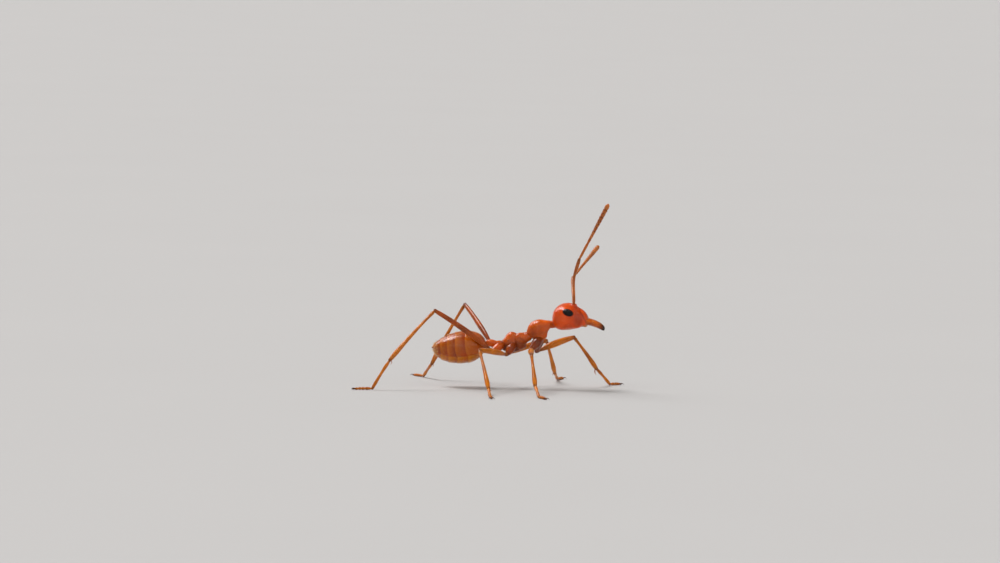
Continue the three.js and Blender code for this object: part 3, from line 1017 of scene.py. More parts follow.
# %% The beads of a whip
SCAPE = ((0, 0.068), (0.025, 0.046), (0.06, 0.060), (0.3, 0.067), (0.7, 0.080), (0.93, 0.094), (1, 0.080))
BEAD_LENGTHS = (0.300, 0.082, 0.076, 0.072, 0.068, 0.066, 0.064, 0.064, 0.064, 0.066, 0.105)
BEAD_RADII = (0.074, 0.076, 0.082, 0.089, 0.096, 0.103, 0.110, 0.116, 0.121, 0.124, 0.122)
BEAD = new_template(
    "bead_template", [(0, 0.66), (0.10, 0.82), (0.45, 0.93), (0.86, 1.0), (0.96, 0.9), (1, 0.7)],
    20, 14, ANTENNA_SHELL,
)
LAST_BEAD = new_template(
    "last_bead_template",
    [(0, 0.7), (0.12, 0.88), (0.4, 1.0), (0.66, 0.9), (0.85, 0.62), (0.95, 0.34), (1, 0.1)],
    20, 18, ANTENNA_SHELL,
)

# %% Join and mark a chain of joints
JOINT_DARK = 0.022  # how far the dark at a joint reaches along the chain, in mm


def corner_points(mesh):
    """The number of the point at each face corner."""
    numbers = np.empty(len(mesh.loops), int)
    mesh.loops.foreach_get("vertex_index", numbers)
    return numbers


def mark_along(piece, start, end, joints, dark=0.75):
    """Gives a chain of joints its unwrap along a line, its lie, full down and a dark ring at each joint."""
    mesh = piece.data
    points = mesh_arrays(mesh)[0]
    way = end - start
    share = (points - start) @ way / (way @ way)
    side = unit(np.cross(way, [0.3, 0.2, 1.0]))
    turn = np.arctan2((points - start) @ unit(np.cross(way, side)), (points - start) @ side)
    places = np.stack([turn / (2 * math.pi) + 0.5, np.clip(share, 0, 1)], -1)
    layer = mesh.uv_layers.get("Unwrap") or mesh.uv_layers.new(name="Unwrap")
    layer.data.foreach_set("uv", places[corner_points(mesh)].ravel())
    near = np.abs(share[:, None] - np.array(joints)[None, :]).min(axis=1) * np.linalg.norm(way)
    marks = {"shade": dark * np.exp(-((near / JOINT_DARK) ** 2)), "down": np.ones(len(points))}
    for mark, values in marks.items():
        mesh.attributes.new(mark, "FLOAT", "POINT").data.foreach_set("value", values)
    lie = mesh.attributes.new("lie", "FLOAT_VECTOR", "POINT")
    lie.data.foreach_set("vector", np.tile(unit(way), (len(points), 1)).ravel())


def piece_from(mesh, name):
    """A smooth-shaded object with the given mesh."""
    mesh.name = name
    mesh.polygons.foreach_set("use_smooth", np.ones(len(mesh.polygons), bool))
    piece = bpy.data.objects.new(name, mesh)
    bpy.context.scene.collection.objects.link(piece)
    return piece


def join_pieces(name, pieces):
    """Joins pieces into the first of them, which takes the name."""
    with bpy.context.temp_override(active_object=pieces[0], selected_editable_objects=pieces):
        bpy.ops.object.join()
    pieces[0].name = name
    return pieces[0]


print("the joints of a whip:", len(BEAD_LENGTHS), "with dark rings", 2 * JOINT_DARK, "mm wide")

# %% Scapes and whips
SOCKET_DEPTH = 0.06  # how far the stalk starts inside its socket
SHORTER = 0.03  # how far before the end of its solid a whip ends
OVERLAP = 0.022  # how far each joint reaches into the next
SCAPE_DARK = ((0, 0.7), (0.05, 0.25), (0.12, 0.05), (0.9, 0.0), (1, 0.55))
ends = np.cumsum(np.array(BEAD_LENGTHS)) / sum(BEAD_LENGTHS)
starts = np.append(0, ends[:-1])
count = len(BEAD_RADII)
feelers = {}
for side in SIDES:
    root, bend, elbow, tip = antenna_places[side].values()
    line = smooth_path([root - [0, 0, SOCKET_DEPTH], root + 0.35 * (bend - root), bend, elbow], 60)
    scape = tube(f"antenna_{side}_scape", line, SCAPE, ANTENNA_SHELL, sides=24, dark=SCAPE_DARK)
    wear(scape, "antenna_cuticle", "antenna_scape_" + side)
    way = unit(tip - elbow)
    length = np.linalg.norm(tip - elbow) + BALL - SHORTER
    spots = elbow + way * (starts * length)[:, None]
    sizes = np.stack([BEAD_RADII, BEAD_RADII, (ends - starts) * length + OVERLAP], -1)
    ways, aside = np.tile(way, (count, 1)), np.tile(np.cross(way, [0, 0, 1.0]), (count, 1))
    name = f"antenna_{side}_funiculus"
    beads = set_out(spots[:-1], ways[:-1], aside[:-1], sizes[:-1], BEAD, ANTENNA_SHELL)
    last = set_out(spots[-1:], ways[-1:], aside[-1:], sizes[-1:], LAST_BEAD, ANTENNA_SHELL)
    whip = join_pieces(name, [piece_from(beads, name), piece_from(last, name + "_end")])
    mark_along(whip, elbow, elbow + way * length, starts)
    wear(whip, "antenna_cuticle", "antenna_funiculus_" + side)
    feelers[side] = (scape, whip)
    stalk = float(np.linalg.norm(elbow - root))
    print("antenna", side, "stalk", round(stalk, 2), "whip", round(length, 2), "mm")
bpy.data.objects.remove(BEAD)
bpy.data.objects.remove(LAST_BEAD)

# %% [markdown]
# ## The neck and the trunk
# The neck is a narrow tube in fine wrinkles between the head and a collar. The trunk is three plates in a
# row. The first is a round shield with side plates, the second a low saddle above two large side plates,
# and the third a rounded dome with a slanting back. Each is its own closed skin, and they reach into each
# other at the seams. A low side that faces other plates and the legs is painted darker than the back, as
# shade, and painted shade also darkens the seams and the breathing holes.

# %% The neck
NECK_RADIUS = 0.210
WRINKLES = 11
WRINKLE_DEPTH = 0.008
neck_low, neck_high = box_of("neck")
neck_back = np.array([neck_low[0], MIDDLE, neck_low[2] + 0.23])
neck_front = np.array([neck_high[0], MIDDLE, neck_high[2] - 0.22])
neck_way = unit(neck_front - neck_back)
neck_line = np.linspace(neck_back - 0.10 * neck_way, neck_front + 0.16 * neck_way, 81)
wrinkles = [
    (share, NECK_RADIUS + WRINKLE_DEPTH * math.cos(share * 2 * WRINKLES * math.pi))
    for share in np.linspace(0, 1, 81)
]
neck = tube(
    "neck_skin", neck_line, wrinkles, TRUNK_SHELL, sides=48,
    dark=((0, 0.7), (0.35, 0.1), (0.7, 0.1), (1, 0.8)), down=0,
)
wear(neck, "trunk_cuticle", "neck")
neck_length = float(np.linalg.norm(neck_front - neck_back))
print("neck", round(neck_length, 2), "mm long with", WRINKLES, "wrinkles")

# %% The first plate: a shield with side plates and a collar
def plate_shade(seams, width, seam_shade, level, fade, low_shade):
    """Painted shade: darker near each seam, pit or shade line, and below a level, fading in over so many
    millimetres.
    """

    def shade(points):
        near = sum(near_form(seam, width)(points) for seam in seams)
        low = np.clip((level - points[:, 2]) / fade, 0, 1) ** 2
        return seam_shade * near + low_shade * low

    return shade


at, lobe = shares_of("pronotum")
shield = joined(
    0.10,
    lobe((0.51, 0, 0.53), (0.45, 0.88, 0.425), pitch=22),
    lobe((0.80, 0, 0.72), (0.30, 0.56, 0.20), pitch=14),
    both_sides(lobe((0.52, 0.40, 0.34), (0.34, 0.44, 0.33), pitch=-10)),
    lobe((0.22, 0, 0.34), (0.17, 0.58, 0.21), pitch=20),
)
collar_groove = lobe((1.06, 0, 0.30), (0.22, 0.62, 0.28))
side_hollow = both_sides(lobe((0.66, 1.06, 0.46), (0.13, 0.24, 0.34), pitch=-32))
# a line along the lower side of the first plate that only carries painted shade; no groove is cut there
side_shade_line = both_sides(rod(at(0.10, 0.80, 0.30), at(0.92, 0.62, 0.44), 0.004))
underside = lobe((0.52, 0, -0.10), (0.5, 0.36, 0.24))
shield_form = hollowed(0.10, shield, collar_groove, underside, side_hollow)
pronotum = form_skin(
    "pronotum_shield", shield_form, at(0.5, 0, 0.5), TRUNK_SHELL, rings=170, sides=190,
    shade=plate_shade([side_shade_line], 0.10, 0.3, level=at(0, 0, 0.45)[2], fade=0.5, low_shade=0.5),
)
wear(pronotum, "trunk_cuticle", "pronotum")

# %% The second plate: a saddle between two side plates
at, lobe = shares_of("mesothorax")
saddle = joined(
    0.07,
    rod(at(0.92, 0, 0.78), at(0.36, 0, 0.63), 0.17),
    lobe((0.40, 0, 0.58), (0.24, 0.62, 0.25), pitch=6),
    both_sides(lobe((0.38, 0.38, 0.42), (0.37, 0.58, 0.38), pitch=14)),
    both_sides(lobe((0.70, 0.30, 0.60), (0.24, 0.50, 0.26), pitch=24)),
    lobe((0.34, 0, 0.12), (0.34, 0.72, 0.26)),
)
slanting_seam = both_sides(rod(at(0.16, 1.0, 0.74), at(0.66, 0.94, 0.36), 0.012))
wing_seam = both_sides(rod(at(0.05, 0.80, 0.72), at(0.92, 0.50, 0.84), 0.012))
middle_form = hollowed(0.03, saddle, slanting_seam, wing_seam)
mesothorax = form_skin(
    "mesothorax_saddle", middle_form, at(0.45, 0, 0.5), TRUNK_SHELL, rings=190, sides=210,
    shade=plate_shade(
        [slanting_seam, wing_seam], 0.03, 0.35, level=at(0, 0, 0.85)[2], fade=0.55, low_shade=0.6,
    ),
)
wear(mesothorax, "trunk_cuticle", "mesothorax")

# %% The third plate: a dome with two breathing holes
at, lobe = shares_of("propodeum")
breathing_rim = both_sides(ellipsoid(at(0.40, 0.80, 0.56), (0.055, 0.055, 0.055)))
breathing_hole = both_sides(ellipsoid(at(0.40, 1.00, 0.56), (0.018, 0.05, 0.027)))
dome = joined(
    0.13,
    lobe((0.62, 0, 0.72), (0.33, 0.76, 0.32)),
    lobe((0.43, 0, 0.54), (0.40, 0.74, 0.26), pitch=50),
    both_sides(lobe((0.50, 0.32, 0.38), (0.42, 0.58, 0.34))),
    lobe((0.13, 0, 0.28), (0.16, 0.50, 0.22)),
    lobe((0.70, 0, 0.14), (0.42, 0.66, 0.28)),
    lobe((0.38, 0, 0.12), (0.34, 0.60, 0.24)),
)
dome = joined(0.03, dome, breathing_rim)
dome_form = hollowed(0.02, dome, breathing_hole)
propodeum = form_skin(
    "propodeum_dome", dome_form, at(0.48, 0, 0.5), TRUNK_SHELL, rings=120, sides=150,
    shade=plate_shade([breathing_hole], 0.015, 0.8, level=at(0, 0, 0.78)[2], fade=0.55, low_shade=0.8),
)
wear(propodeum, "trunk_cuticle", "propodeum")

# %% [markdown]
# ## The waist
# One low scale on a slender stalk joins the trunk to the abdomen, and lets the ant fold its abdomen over
# its back. In a weaver ant the scale is only a gentle hump, and the stalk is nearly straight.

# %% The petiole
WAIST_LENGTH = 0.87
at, lobe = shares_of("petiole")
waist = joined(
    0.07,
    rod(at(1.08, 0, 0.50), at(-0.06, 0, 0.44), 0.13),
    lobe((0.36, 0, 0.52), (0.36, 0.72, 0.31), pitch=-6),
    lobe((0.50, 0, 0.36), (0.44, 0.62, 0.24)),
)


def waist_shade(points):
    """Darker at both ends, where the stalk meets its neighbours."""
    share = np.clip((points[:, 0] - at(0, 0, 0)[0]) / WAIST_LENGTH, 0, 1)
    return smooth(((0, 0.6), (0.14, 0.05), (0.86, 0.05), (1, 0.6)), share)


petiole = form_skin(
    "petiole_stalk", waist, at(0.45, 0, 0.45), TRUNK_SHELL, rings=90, sides=80, shade=waist_shade,
)
wear(petiole, "trunk_cuticle", "petiole")

# %% [markdown]
# ## The abdomen
# The gaster is a stack of half hoops like the plates of a lobster's tail: five on the back and five below,
# each with its hind edge lying over the front of the next. Where an edge is thin the light comes through,
# so every plate ends in a pale band. Each plate here is its own closed shell on a soft core, and its
# places come from one rule for the whole gaster: how wide and how tall it is at each share of its length.

# %% The profile of the abdomen
WIDEST = 0.42  # share of the length from the front, where the gaster is widest
FRONT_BLUNT = 2.15  # 2 is an ellipse, and more is blunter
BACK_BLUNT = 2.1
BACK_BLUNT_TOP = 1.7  # the back falls away more evenly than the belly
gaster_low, gaster_high = box_of("gaster")
gaster_points = corners("gaster")
front_point = gaster_points[np.argmax(gaster_points[:, 0])]
back_point = gaster_points[np.argmin(gaster_points[:, 0])]
gaster_start = np.array([gaster_high[0], MIDDLE, front_point[2]])
gaster_end = np.array([gaster_low[0], MIDDLE, back_point[2]])
gaster_half = (gaster_high[1] - gaster_low[1]) / 2
spine_at_widest = gaster_start + WIDEST * (gaster_end - gaster_start)
gaster_up = gaster_high[2] - spine_at_widest[2]
gaster_down = spine_at_widest[2] - gaster_low[2]


def gaster_share(along, blunt=BACK_BLUNT):
    """The gaster's thickness along its length, as a share of the greatest."""
    before = np.clip((WIDEST - along) / WIDEST, 0, 1)
    behind = np.clip((along - WIDEST) / (1 - WIDEST), 0, 1)
    front_size = (1 - before**FRONT_BLUNT) ** (1 / FRONT_BLUNT)
    return np.where(along < WIDEST, front_size, (1 - behind**blunt) ** (1 / blunt))


def gaster_place(along, turn, lift):
    """A place on the gaster: along from the front, turned from the top, and lifted off the skin in mm."""
    spine = gaster_start + along[..., None] * (gaster_end - gaster_start)
    size = gaster_share(along)
    tall = np.where(np.cos(turn) > 0, gaster_up * gaster_share(along, BACK_BLUNT_TOP), gaster_down * size)
    return spine + np.stack([
        0 * turn,
        (gaster_half * size + lift) * np.sin(turn),
        (tall + lift) * np.cos(turn),
    ], axis=-1)


print("gaster", np.round(gaster_high - gaster_low, 2).tolist(), "mm")
print("above its axis", round(gaster_up, 2), "below", round(gaster_down, 2), "mm")

# %% One plate of the abdomen
PLATE = 0.012  # the thickness of a plate
SLOPE_OUT = 0.030  # how far a plate's hind edge stands out past its front
LIP = 0.008  # how far its very edge curls up
CUT_CORNERS = 0.22  # the share of its length that a plate loses at its side corners
FOREMOST = 0.05  # a plate that starts before this share of the gaster has no plate to slip under


def hoop(name, start, end, middle_turn, half_turn, sink, shell):
    """One plate: a curved shell from start to end along the gaster, round one side of it."""
    across = np.linspace(-1, 1, 150)[None, :]
    turn = middle_turn + np.linspace(-half_turn, half_turn, 150)[None, :]
    along = np.linspace(start, end, 46)[:, None]
    along = start + (along - start) * (1 - CUT_CORNERS * np.abs(across) ** 8)
    turn = turn + 0 * along
    part = (along - start) / (end - start)
    first = start < FOREMOST
    lift = SLOPE_OUT * (not first) * (part - 1) + LIP * part**6 - sink
    outer = gaster_place(along, turn, lift)
    inner = gaster_place(along, turn, lift - PLATE)
    points, faces, places = sheet_skin(outer, inner)
    middle = 1 / (1 + np.exp(-(part - (0.10 if first else 0.46)) / 0.06))
    pale = 0.28 * middle + 0.5 * np.clip((part - 0.5) / 0.5, 0, 1) ** 1.7
    marks = {
        "shade": np.tile(pale, (2, 1)).ravel(),
        "lie": np.vstack([lie_along(grid)[:-2] for grid in (outer, inner)]),
        "down": np.concatenate([(part > 0.16).ravel(), np.zeros(part.size)]),
    }
    return wear(add_piece(name, points, faces, shell, places, marks), "gaster_cuticle")


print("a plate is", PLATE, "mm thick, and its hind edge stands", SLOPE_OUT, "mm out")

# %% The core of the abdomen
CORE_DEPTH = 0.085  # how deep the core lies under the plates' skin
core_along = np.linspace(0.03, 0.97, 60)[:, None]
core_turn = np.linspace(0, 2 * math.pi, 96, endpoint=False)[None, :]
core_rings = gaster_place(
    core_along + 0 * core_turn, core_turn + 0 * core_along, -CORE_DEPTH + 0 * core_along,
)
core_ends = gaster_start + np.array([[0.025], [0.975]]) * (gaster_end - gaster_start)
core_points, core_faces, core_places = ring_skin(core_rings, core_ends[0], core_ends[1])
core = add_piece("gaster_core", core_points, core_faces, MEMBRANE, core_places)
wear(core, "gaster_cuticle", "gaster")
print("the core has", len(core_faces), "faces")

# %% The plates of the abdomen
BACK_EDGES = (0.40, 0.585, 0.735, 0.865, 0.994)  # where each plate ends, as a share of the gaster's length
BELLY_EDGES = (0.33, 0.53, 0.70, 0.845, 0.992)
UNDERLAP = 0.05  # how far a plate reaches in under the one before it, as a share of the length
BELLY_SINK = 0.016  # how much deeper the belly plates lie, so that the back plates close over them
BACK_HALF, BELLY_HALF = math.radians(124), math.radians(78)  # how far round each way they reach
back_plates, belly_plates = [], []
for number, (back_edge, belly_edge) in enumerate(zip(BACK_EDGES, BELLY_EDGES), start=1):
    before = 0.006 if number == 1 else BACK_EDGES[number - 2] - UNDERLAP
    name = f"gaster_back_plate_{number}"
    back_plates.append(hoop(name, before, back_edge, 0.0, BACK_HALF, 0.0, GASTER_SHELL))
    before = 0.008 if number == 1 else BELLY_EDGES[number - 2] - UNDERLAP
    name = f"gaster_belly_plate_{number}"
    belly_plates.append(hoop(name, before, belly_edge, math.pi, BELLY_HALF, BELLY_SINK, BELLY_SHELL))
nozzle_way = unit(gaster_end - gaster_start)
nozzle_line = np.linspace(gaster_end - 0.12 * nozzle_way, gaster_end + 0.03 * nozzle_way, 12)
nozzle = tube(
    "acid_nozzle", nozzle_line, ((0, 0.16), (0.5, 0.10), (1, 0.045)), GASTER_SHELL, sides=24, down=0,
)
wear(nozzle, "gaster_cuticle")
print("gaster: five back plates, five belly plates, a core and a nozzle")

# %% [markdown]
# ## The legs
# Six legs of the same five parts: coxa, trochanter, femur, tibia and tarsus. Every part is a tube round
# the line between its two joints, thickest in the femur and narrow at each joint, where the shell is dark.
# The coxae are as red as the trunk, with painted shade over them that is deepest on those in front, under
# the first plate. The lines come from the solids, so the pose is the same in both. The thicknesses are those
# of the animal, about half of the solids'.

# %% How thick the parts of the legs are
COXA = {
    "front": ((0, 0.22), (0.3, 0.275), (0.7, 0.20), (1, 0.12)),
    "middle": ((0, 0.20), (0.35, 0.245), (0.75, 0.175), (1, 0.115)),
    "hind": ((0, 0.19), (0.35, 0.235), (0.75, 0.17), (1, 0.115)),
}
FEMUR = {
    "front": ((0, 0.08), (0.06, 0.10), (0.35, 0.165), (0.7, 0.15), (0.93, 0.112), (1, 0.095)),
    "middle": ((0, 0.075), (0.06, 0.095), (0.35, 0.145), (0.7, 0.125), (0.94, 0.105), (1, 0.09)),
    "hind": ((0, 0.075), (0.05, 0.09), (0.35, 0.14), (0.7, 0.12), (0.95, 0.10), (1, 0.088)),
}
TIBIA = ((0, 0.07), (0.04, 0.092), (0.12, 0.082), (0.6, 0.105), (0.92, 0.122), (1, 0.095))
RING = ((0, 0.10), (0.5, 0.112), (1, 0.082))  # the trochanter
DARK_ENDS = ((0, 0.75), (0.05, 0.3), (0.12, 0.0), (0.9, 0.0), (0.97, 0.3), (1, 0.7))
# painted shade along the middle of each pair of coxae, deepest on the front pair
COXA_SHADE = {"front": 0.85, "middle": 0.65, "hind": 0.3}
UPRIGHT = (0.01, 0, 1)  # a limb's tall side turns up; not quite upright, so that no limb points along it
print("the thickest thigh is", 2 * max(radius for _, radius in FEMUR["front"]), "mm through")

# %% The thick parts of the legs
def bowed(start, end, bow, count):
    """A line from start to end that bows upwards by the given share of its length."""
    way = end - start
    lift = unit(np.cross(np.cross(way, [0, 0, 1.0]), way)) * bow * np.linalg.norm(way)
    knots = [
        start,
        start + 0.25 * way + 0.75 * lift,
        (start + end) / 2 + lift,
        start + 0.75 * way + 0.75 * lift,
        end,
    ]
    return smooth_path(knots, count)


leg_skins = {}
for leg, place in leg_places.items():
    pair = leg.split("_")[0]
    outward = unit(place["trochanter"] - place["hip"])
    thigh = unit(place["knee"] - place["trochanter"])
    shin = unit(place["ankle"] - place["knee"])
    coxa_line = np.linspace(place["hip"] - 0.05 * outward, place["trochanter"] - 0.02 * outward, 26)
    coxa = tube(
        f"coxa_{leg}_shell", coxa_line, COXA[pair], TRUNK_SHELL, sides=30, down=0.6,
        dark=((0, 0.7), (0.3, COXA_SHADE[pair]), (0.85, COXA_SHADE[pair] - 0.1), (1, 0.8)),
    )
    ring_line = np.linspace(place["trochanter"] + 0.01 * thigh, place["trochanter"] + 0.17 * thigh, 12)
    ring = tube(
        f"trochanter_{leg}_shell", ring_line, RING, LEG_SHELL, sides=24, dark=((0, 0.6), (1, 0.5)),
    )
    femur_line = bowed(place["trochanter"] + 0.22 * thigh, place["knee"], 0.018, 60)
    # the hind thighs take a redder, darker cuticle: the red is their own colour, the extra darkness is
    # painted shade
    femur = tube(
        f"femur_{leg}_shell", femur_line, FEMUR[pair], THIGH_SHELL if pair == "hind" else LEG_SHELL,
        sides=28, tall=1.12, toward=UPRIGHT, dark=DARK_ENDS,
    )
    tibia_line = bowed(place["knee"] + 0.03 * shin, place["ankle"], 0.012, 60)
    tibia = tube(
        f"tibia_{leg}_shell", tibia_line, TIBIA, LEG_SHELL, sides=24, toward=UPRIGHT, dark=DARK_ENDS,
    )
    wear(coxa, "leg_cuticle", "coxa_" + leg)
    wear(ring, "leg_cuticle")
    wear(femur, "leg_cuticle", "femur_" + leg)
    wear(tibia, "leg_cuticle", "tibia_" + leg)
    leg_skins[leg] = [coxa, ring, femur, tibia]
    thigh_length = float(np.linalg.norm(place["knee"] - place["trochanter"]))
    shin_length = float(np.linalg.norm(place["ankle"] - place["knee"]))
    print(leg, "thigh", round(thigh_length, 2), "shin", round(shin_length, 2), "mm")

# %% [markdown]
# ## The feet
# A foot is a long slender joint, three short ones shaped like hearts, and a longer last one with two
# curved claws and a soft pad between them, which is what holds on to a leaf. The short joints are copies
# of one heart, set out by the same tree as the feelers. A spur stands on the inside of each shin's end.
# The front ones are longer and broader, because the ant draws its feelers through them to clean them.

# %% The measures of a foot
HEART = new_template(
    "heart_template", [(0, 0.5), (0.15, 0.62), (0.7, 0.93), (0.9, 1.0), (1, 0.76)], 18, 12, LEG_SHELL,
)
CLAW_SHELL = cuticle("dark_claws", "6a3010", "4a1e0a", "150703", gloss=0.22, glow=0.15, cell=0.02)
PAD_SKIN = cuticle("soft_foot_pads", "8a5a34", "5e3a20", "2a170b", gloss=0.45, glow=0.4, coat=0.2)
HEEL_UP, TOE_UP = 0.085, 0.07  # how high the line of the foot runs over the floor
FOOT_JOINTS = (0.34, 0.24, 0.18)  # the shares of the toes taken by the three hearts
FOOT_RADII = (0.082, 0.080, 0.078)
LONG_JOINT = ((0, 0.055), (0.08, 0.078), (0.5, 0.074), (0.94, 0.082), (1, 0.07))
LAST_JOINT = ((0, 0.04), (0.5, 0.055), (0.9, 0.068), (1, 0.058))
CLAW = ((0, 0.028), (0.4, 0.022), (0.8, 0.011), (1, 0.004))
CLAW_REACH = 0.20
CLAW_SPREAD = 0.13
PAD = ((0, 0.03), (0.6, 0.052), (1, 0.046))

# %% The joints of a foot
def hearts_of(leg, heel, sole, aside, length):
    """The three short joints of a foot, standing in a row on the floor."""
    starts = np.cumsum((0, *FOOT_JOINTS))
    spots = heel + 0.03 * sole + sole * (starts[:3] * length)[:, None]
    spots[:, 2] = np.array(FOOT_RADII) + 0.004
    sizes = np.stack([FOOT_RADII, FOOT_RADII, np.array(FOOT_JOINTS) * length + 0.035], -1)
    ways, asides = np.tile(sole, (3, 1)), np.tile(aside, (3, 1))
    hearts = piece_from(set_out(spots, ways, asides, sizes, HEART, LEG_SHELL), f"hearts_{leg}")
    mark_along(hearts, heel, heel + sole * length, starts, dark=0.6)
    last_start = heel + sole * (starts[3] * length + 0.02)
    last_start[2] = 0.074
    return hearts, last_start


def foot_of(leg, ankle, heel, toe, sole, aside):
    """A foot's five joints as one piece, with down on its upper side only."""
    long_line = bowed(ankle + 0.04 * unit(heel - ankle), heel, 0.01, 40)
    long_joint = tube(
        f"tarsus_{leg}_shell", long_line, LONG_JOINT, LEG_SHELL, sides=20, toward=UPRIGHT,
        dark=((0, 0.6), (0.08, 0.1), (0.92, 0.1), (1, 0.6)),
    )
    hearts, last_start = hearts_of(leg, heel, sole, aside, np.linalg.norm(toe - heel))
    last_line = np.linspace(last_start, toe + 0.02 * sole, 22)
    last = tube(
        f"last_{leg}", last_line, LAST_JOINT, LEG_SHELL, sides=18, dark=((0, 0.5), (0.3, 0.1), (1, 0.5)),
    )
    foot = join_pieces(f"tarsus_{leg}_shell", [long_joint, hearts, last])
    points = mesh_arrays(foot.data)[0]
    foot.data.attributes["down"].data.foreach_set("value", (points[:, 2] > 0.07) * 0.7)
    return foot


# %% Claws and spurs
def claw(name, base, ahead, aside):
    """A claw: forwards, outwards, and then down to the ground."""
    knots = [
        base,
        base + ahead * 0.09 + aside * 0.05 + [0, 0, 0.025],
        base + ahead * 0.16 + aside * 0.10 + [0, 0, 0.0],
        base + ahead * CLAW_REACH + aside * CLAW_SPREAD + [0, 0, -0.055],
    ]
    dark = ((0, 0.1), (0.5, 0.5), (1, 1))
    return tube(name, smooth_path(knots, 20), CLAW, CLAW_SHELL, sides=12, dark=dark, down=0)


def spur_of(leg, place, heel):
    """The spur on the inside of the shin's end, which is the side that the leg bends to."""
    ankle = place["ankle"]
    shin = unit(ankle - place["knee"])
    bend = place["trochanter"] - ankle
    inner = unit(bend - (bend @ shin) * shin)
    base = ankle - 0.05 * shin + 0.07 * inner
    reach, width = (0.42, 0.028) if leg.startswith("front") else (0.26, 0.018)
    way = unit(0.85 * unit(heel - ankle) + 0.48 * inner)
    knots = [base, base + 0.5 * reach * way + 0.03 * inner, base + reach * way - 0.03 * inner]
    widths = ((0, width), (0.3, width * 1.1), (1, 0.004))
    dark = ((0, 0.5), (1, 0.2))
    return tube(f"spur_{leg}", smooth_path(knots, 24), widths, LEG_SHELL, sides=12, dark=dark, down=0)


print("a claw reaches", CLAW_REACH, "mm ahead and", CLAW_SPREAD, "mm aside")

# %% The six feet
for leg, place in leg_places.items():
    heel, toe = place["heel"] + [0, 0, HEEL_UP], place["toe"] + [0, 0, TOE_UP]
    sole = unit((toe - heel) * [1, 1, 0])
    aside = np.cross([0, 0, 1.0], sole)
    foot = foot_of(leg, place["ankle"], heel, toe, sole, aside)
    wear(foot, "leg_cuticle", "tarsus_" + leg)
    leg_skins[leg].append(foot)
    tip = toe + 0.05 * sole
    claws = join_pieces(f"claws_{leg}", [
        claw(f"claw_{leg}_a", tip + 0.03 * aside, sole, aside),
        claw(f"claw_{leg}_b", tip - 0.03 * aside, sole, -aside),
    ])
    wear(claws, "leg_cuticle")
    pad_line = np.linspace(tip, tip + 0.10 * sole - [0, 0, 0.02], 12)
    pad = tube(f"pad_{leg}", pad_line, PAD, PAD_SKIN, sides=18, tall=0.7, down=0)
    wear(pad, "leg_cuticle")
    wear(spur_of(leg, place, heel), "leg_cuticle")
bpy.data.objects.remove(HEART)
print("six feet of five joints, with two claws, a pad and a spur each")

# %% [markdown]
# ## The down
# A weaver ant looks bare, but a loupe shows fine pale hairs lying along every plate, thickest on the
# feelers, and a few stiff bristles over the mouth and at the tip of the abdomen. Particle hair would be
# lost in an export, so a node tree scatters points on each skin and stands a tapered hair on each, leaning
# along the body. Where the skin's own mark is low, as on the face and the feet, the hairs are fewer and
# shorter. Every coat has a seed of its own, which is fixed.

# %% One hair
HAIR_SIDES = 3
HAIR_LEVELS = ((0.0, 0.0, 1.0), (0.5, 0.05, 0.72), (0.85, 0.2, 0.34))  # height, how far bent, radius


def hair_shape():
    """A tapered three-sided hair, one high and bending towards +X, and its places on a hair's patch."""
    around = np.arange(HAIR_SIDES) * 2 * math.pi / HAIR_SIDES
    points = [
        [bend + radius * math.cos(a), radius * math.sin(a), height]
        for height, bend, radius in HAIR_LEVELS for a in around
    ]
    points.append([0.30, 0, 1.0])
    faces = [[2, 1, 0]]
    for level in range(2):
        for side in range(HAIR_SIDES):
            low, high = level * HAIR_SIDES, (level + 1) * HAIR_SIDES
            after = (side + 1) % HAIR_SIDES
            faces.append([low + side, low + after, high + after, high + side])
    faces += [[6 + side, 6 + (side + 1) % HAIR_SIDES, 9] for side in range(HAIR_SIDES)]
    points = np.array(points)
    tuft = np.stack([points[:, 1] * 0.3, points[:, 2] - 0.5, 0 * points[:, 2]], -1)
    return points, faces, tuft


def hair_gold():
    """Pale gold hair, a little darker at some roots than at others."""
    material, tree, place = new_material("pale_gold_down")
    patches = ranged(tree, noise(tree, place, 0.25, 2.0), 0, 1, 0.35, 0.65)
    fine = noise(tree, place, 0.012, 1.0)
    patterns = {
        "Base Color": mix_colours(tree, patches, tint("f2c27a"), tint("d89444")),
        "Roughness": ranged(tree, fine, 0.36, 0.52),
        "Normal": bumped(tree, fine, 0.3, 0.0005),
    }
    settings = {
        "Subsurface Weight": 0.6, "Subsurface Radius": (1.0, 0.8, 0.6), "Subsurface Scale": 0.02 * MM,
    }
    set_shader(tree, patterns, settings)
    return material


HAIR_GOLD = hair_gold()
hair_points, hair_faces, hair_tuft = hair_shape()
HAIR = add_piece("hair_template", hair_points, hair_faces, HAIR_GOLD, marks={"tuft": hair_tuft})
print("one hair has", len(hair_faces), "faces")

# %% The tree that grows them
def product(tree, first, second):
    """Two numbers multiplied."""
    return add_node(tree, "ShaderNodeMath", {0: first, 1: second}, operation="MULTIPLY").outputs[0]


def scaled(tree, vector, scale):
    """A direction made longer or shorter."""
    inputs = {0: vector, "Scale": scale}
    return add_node(tree, "ShaderNodeVectorMath", inputs, operation="SCALE").outputs[0]


def total(tree, first, second):
    """Two directions added."""
    return add_node(tree, "ShaderNodeVectorMath", {0: first, 1: second}, operation="ADD").outputs[0]


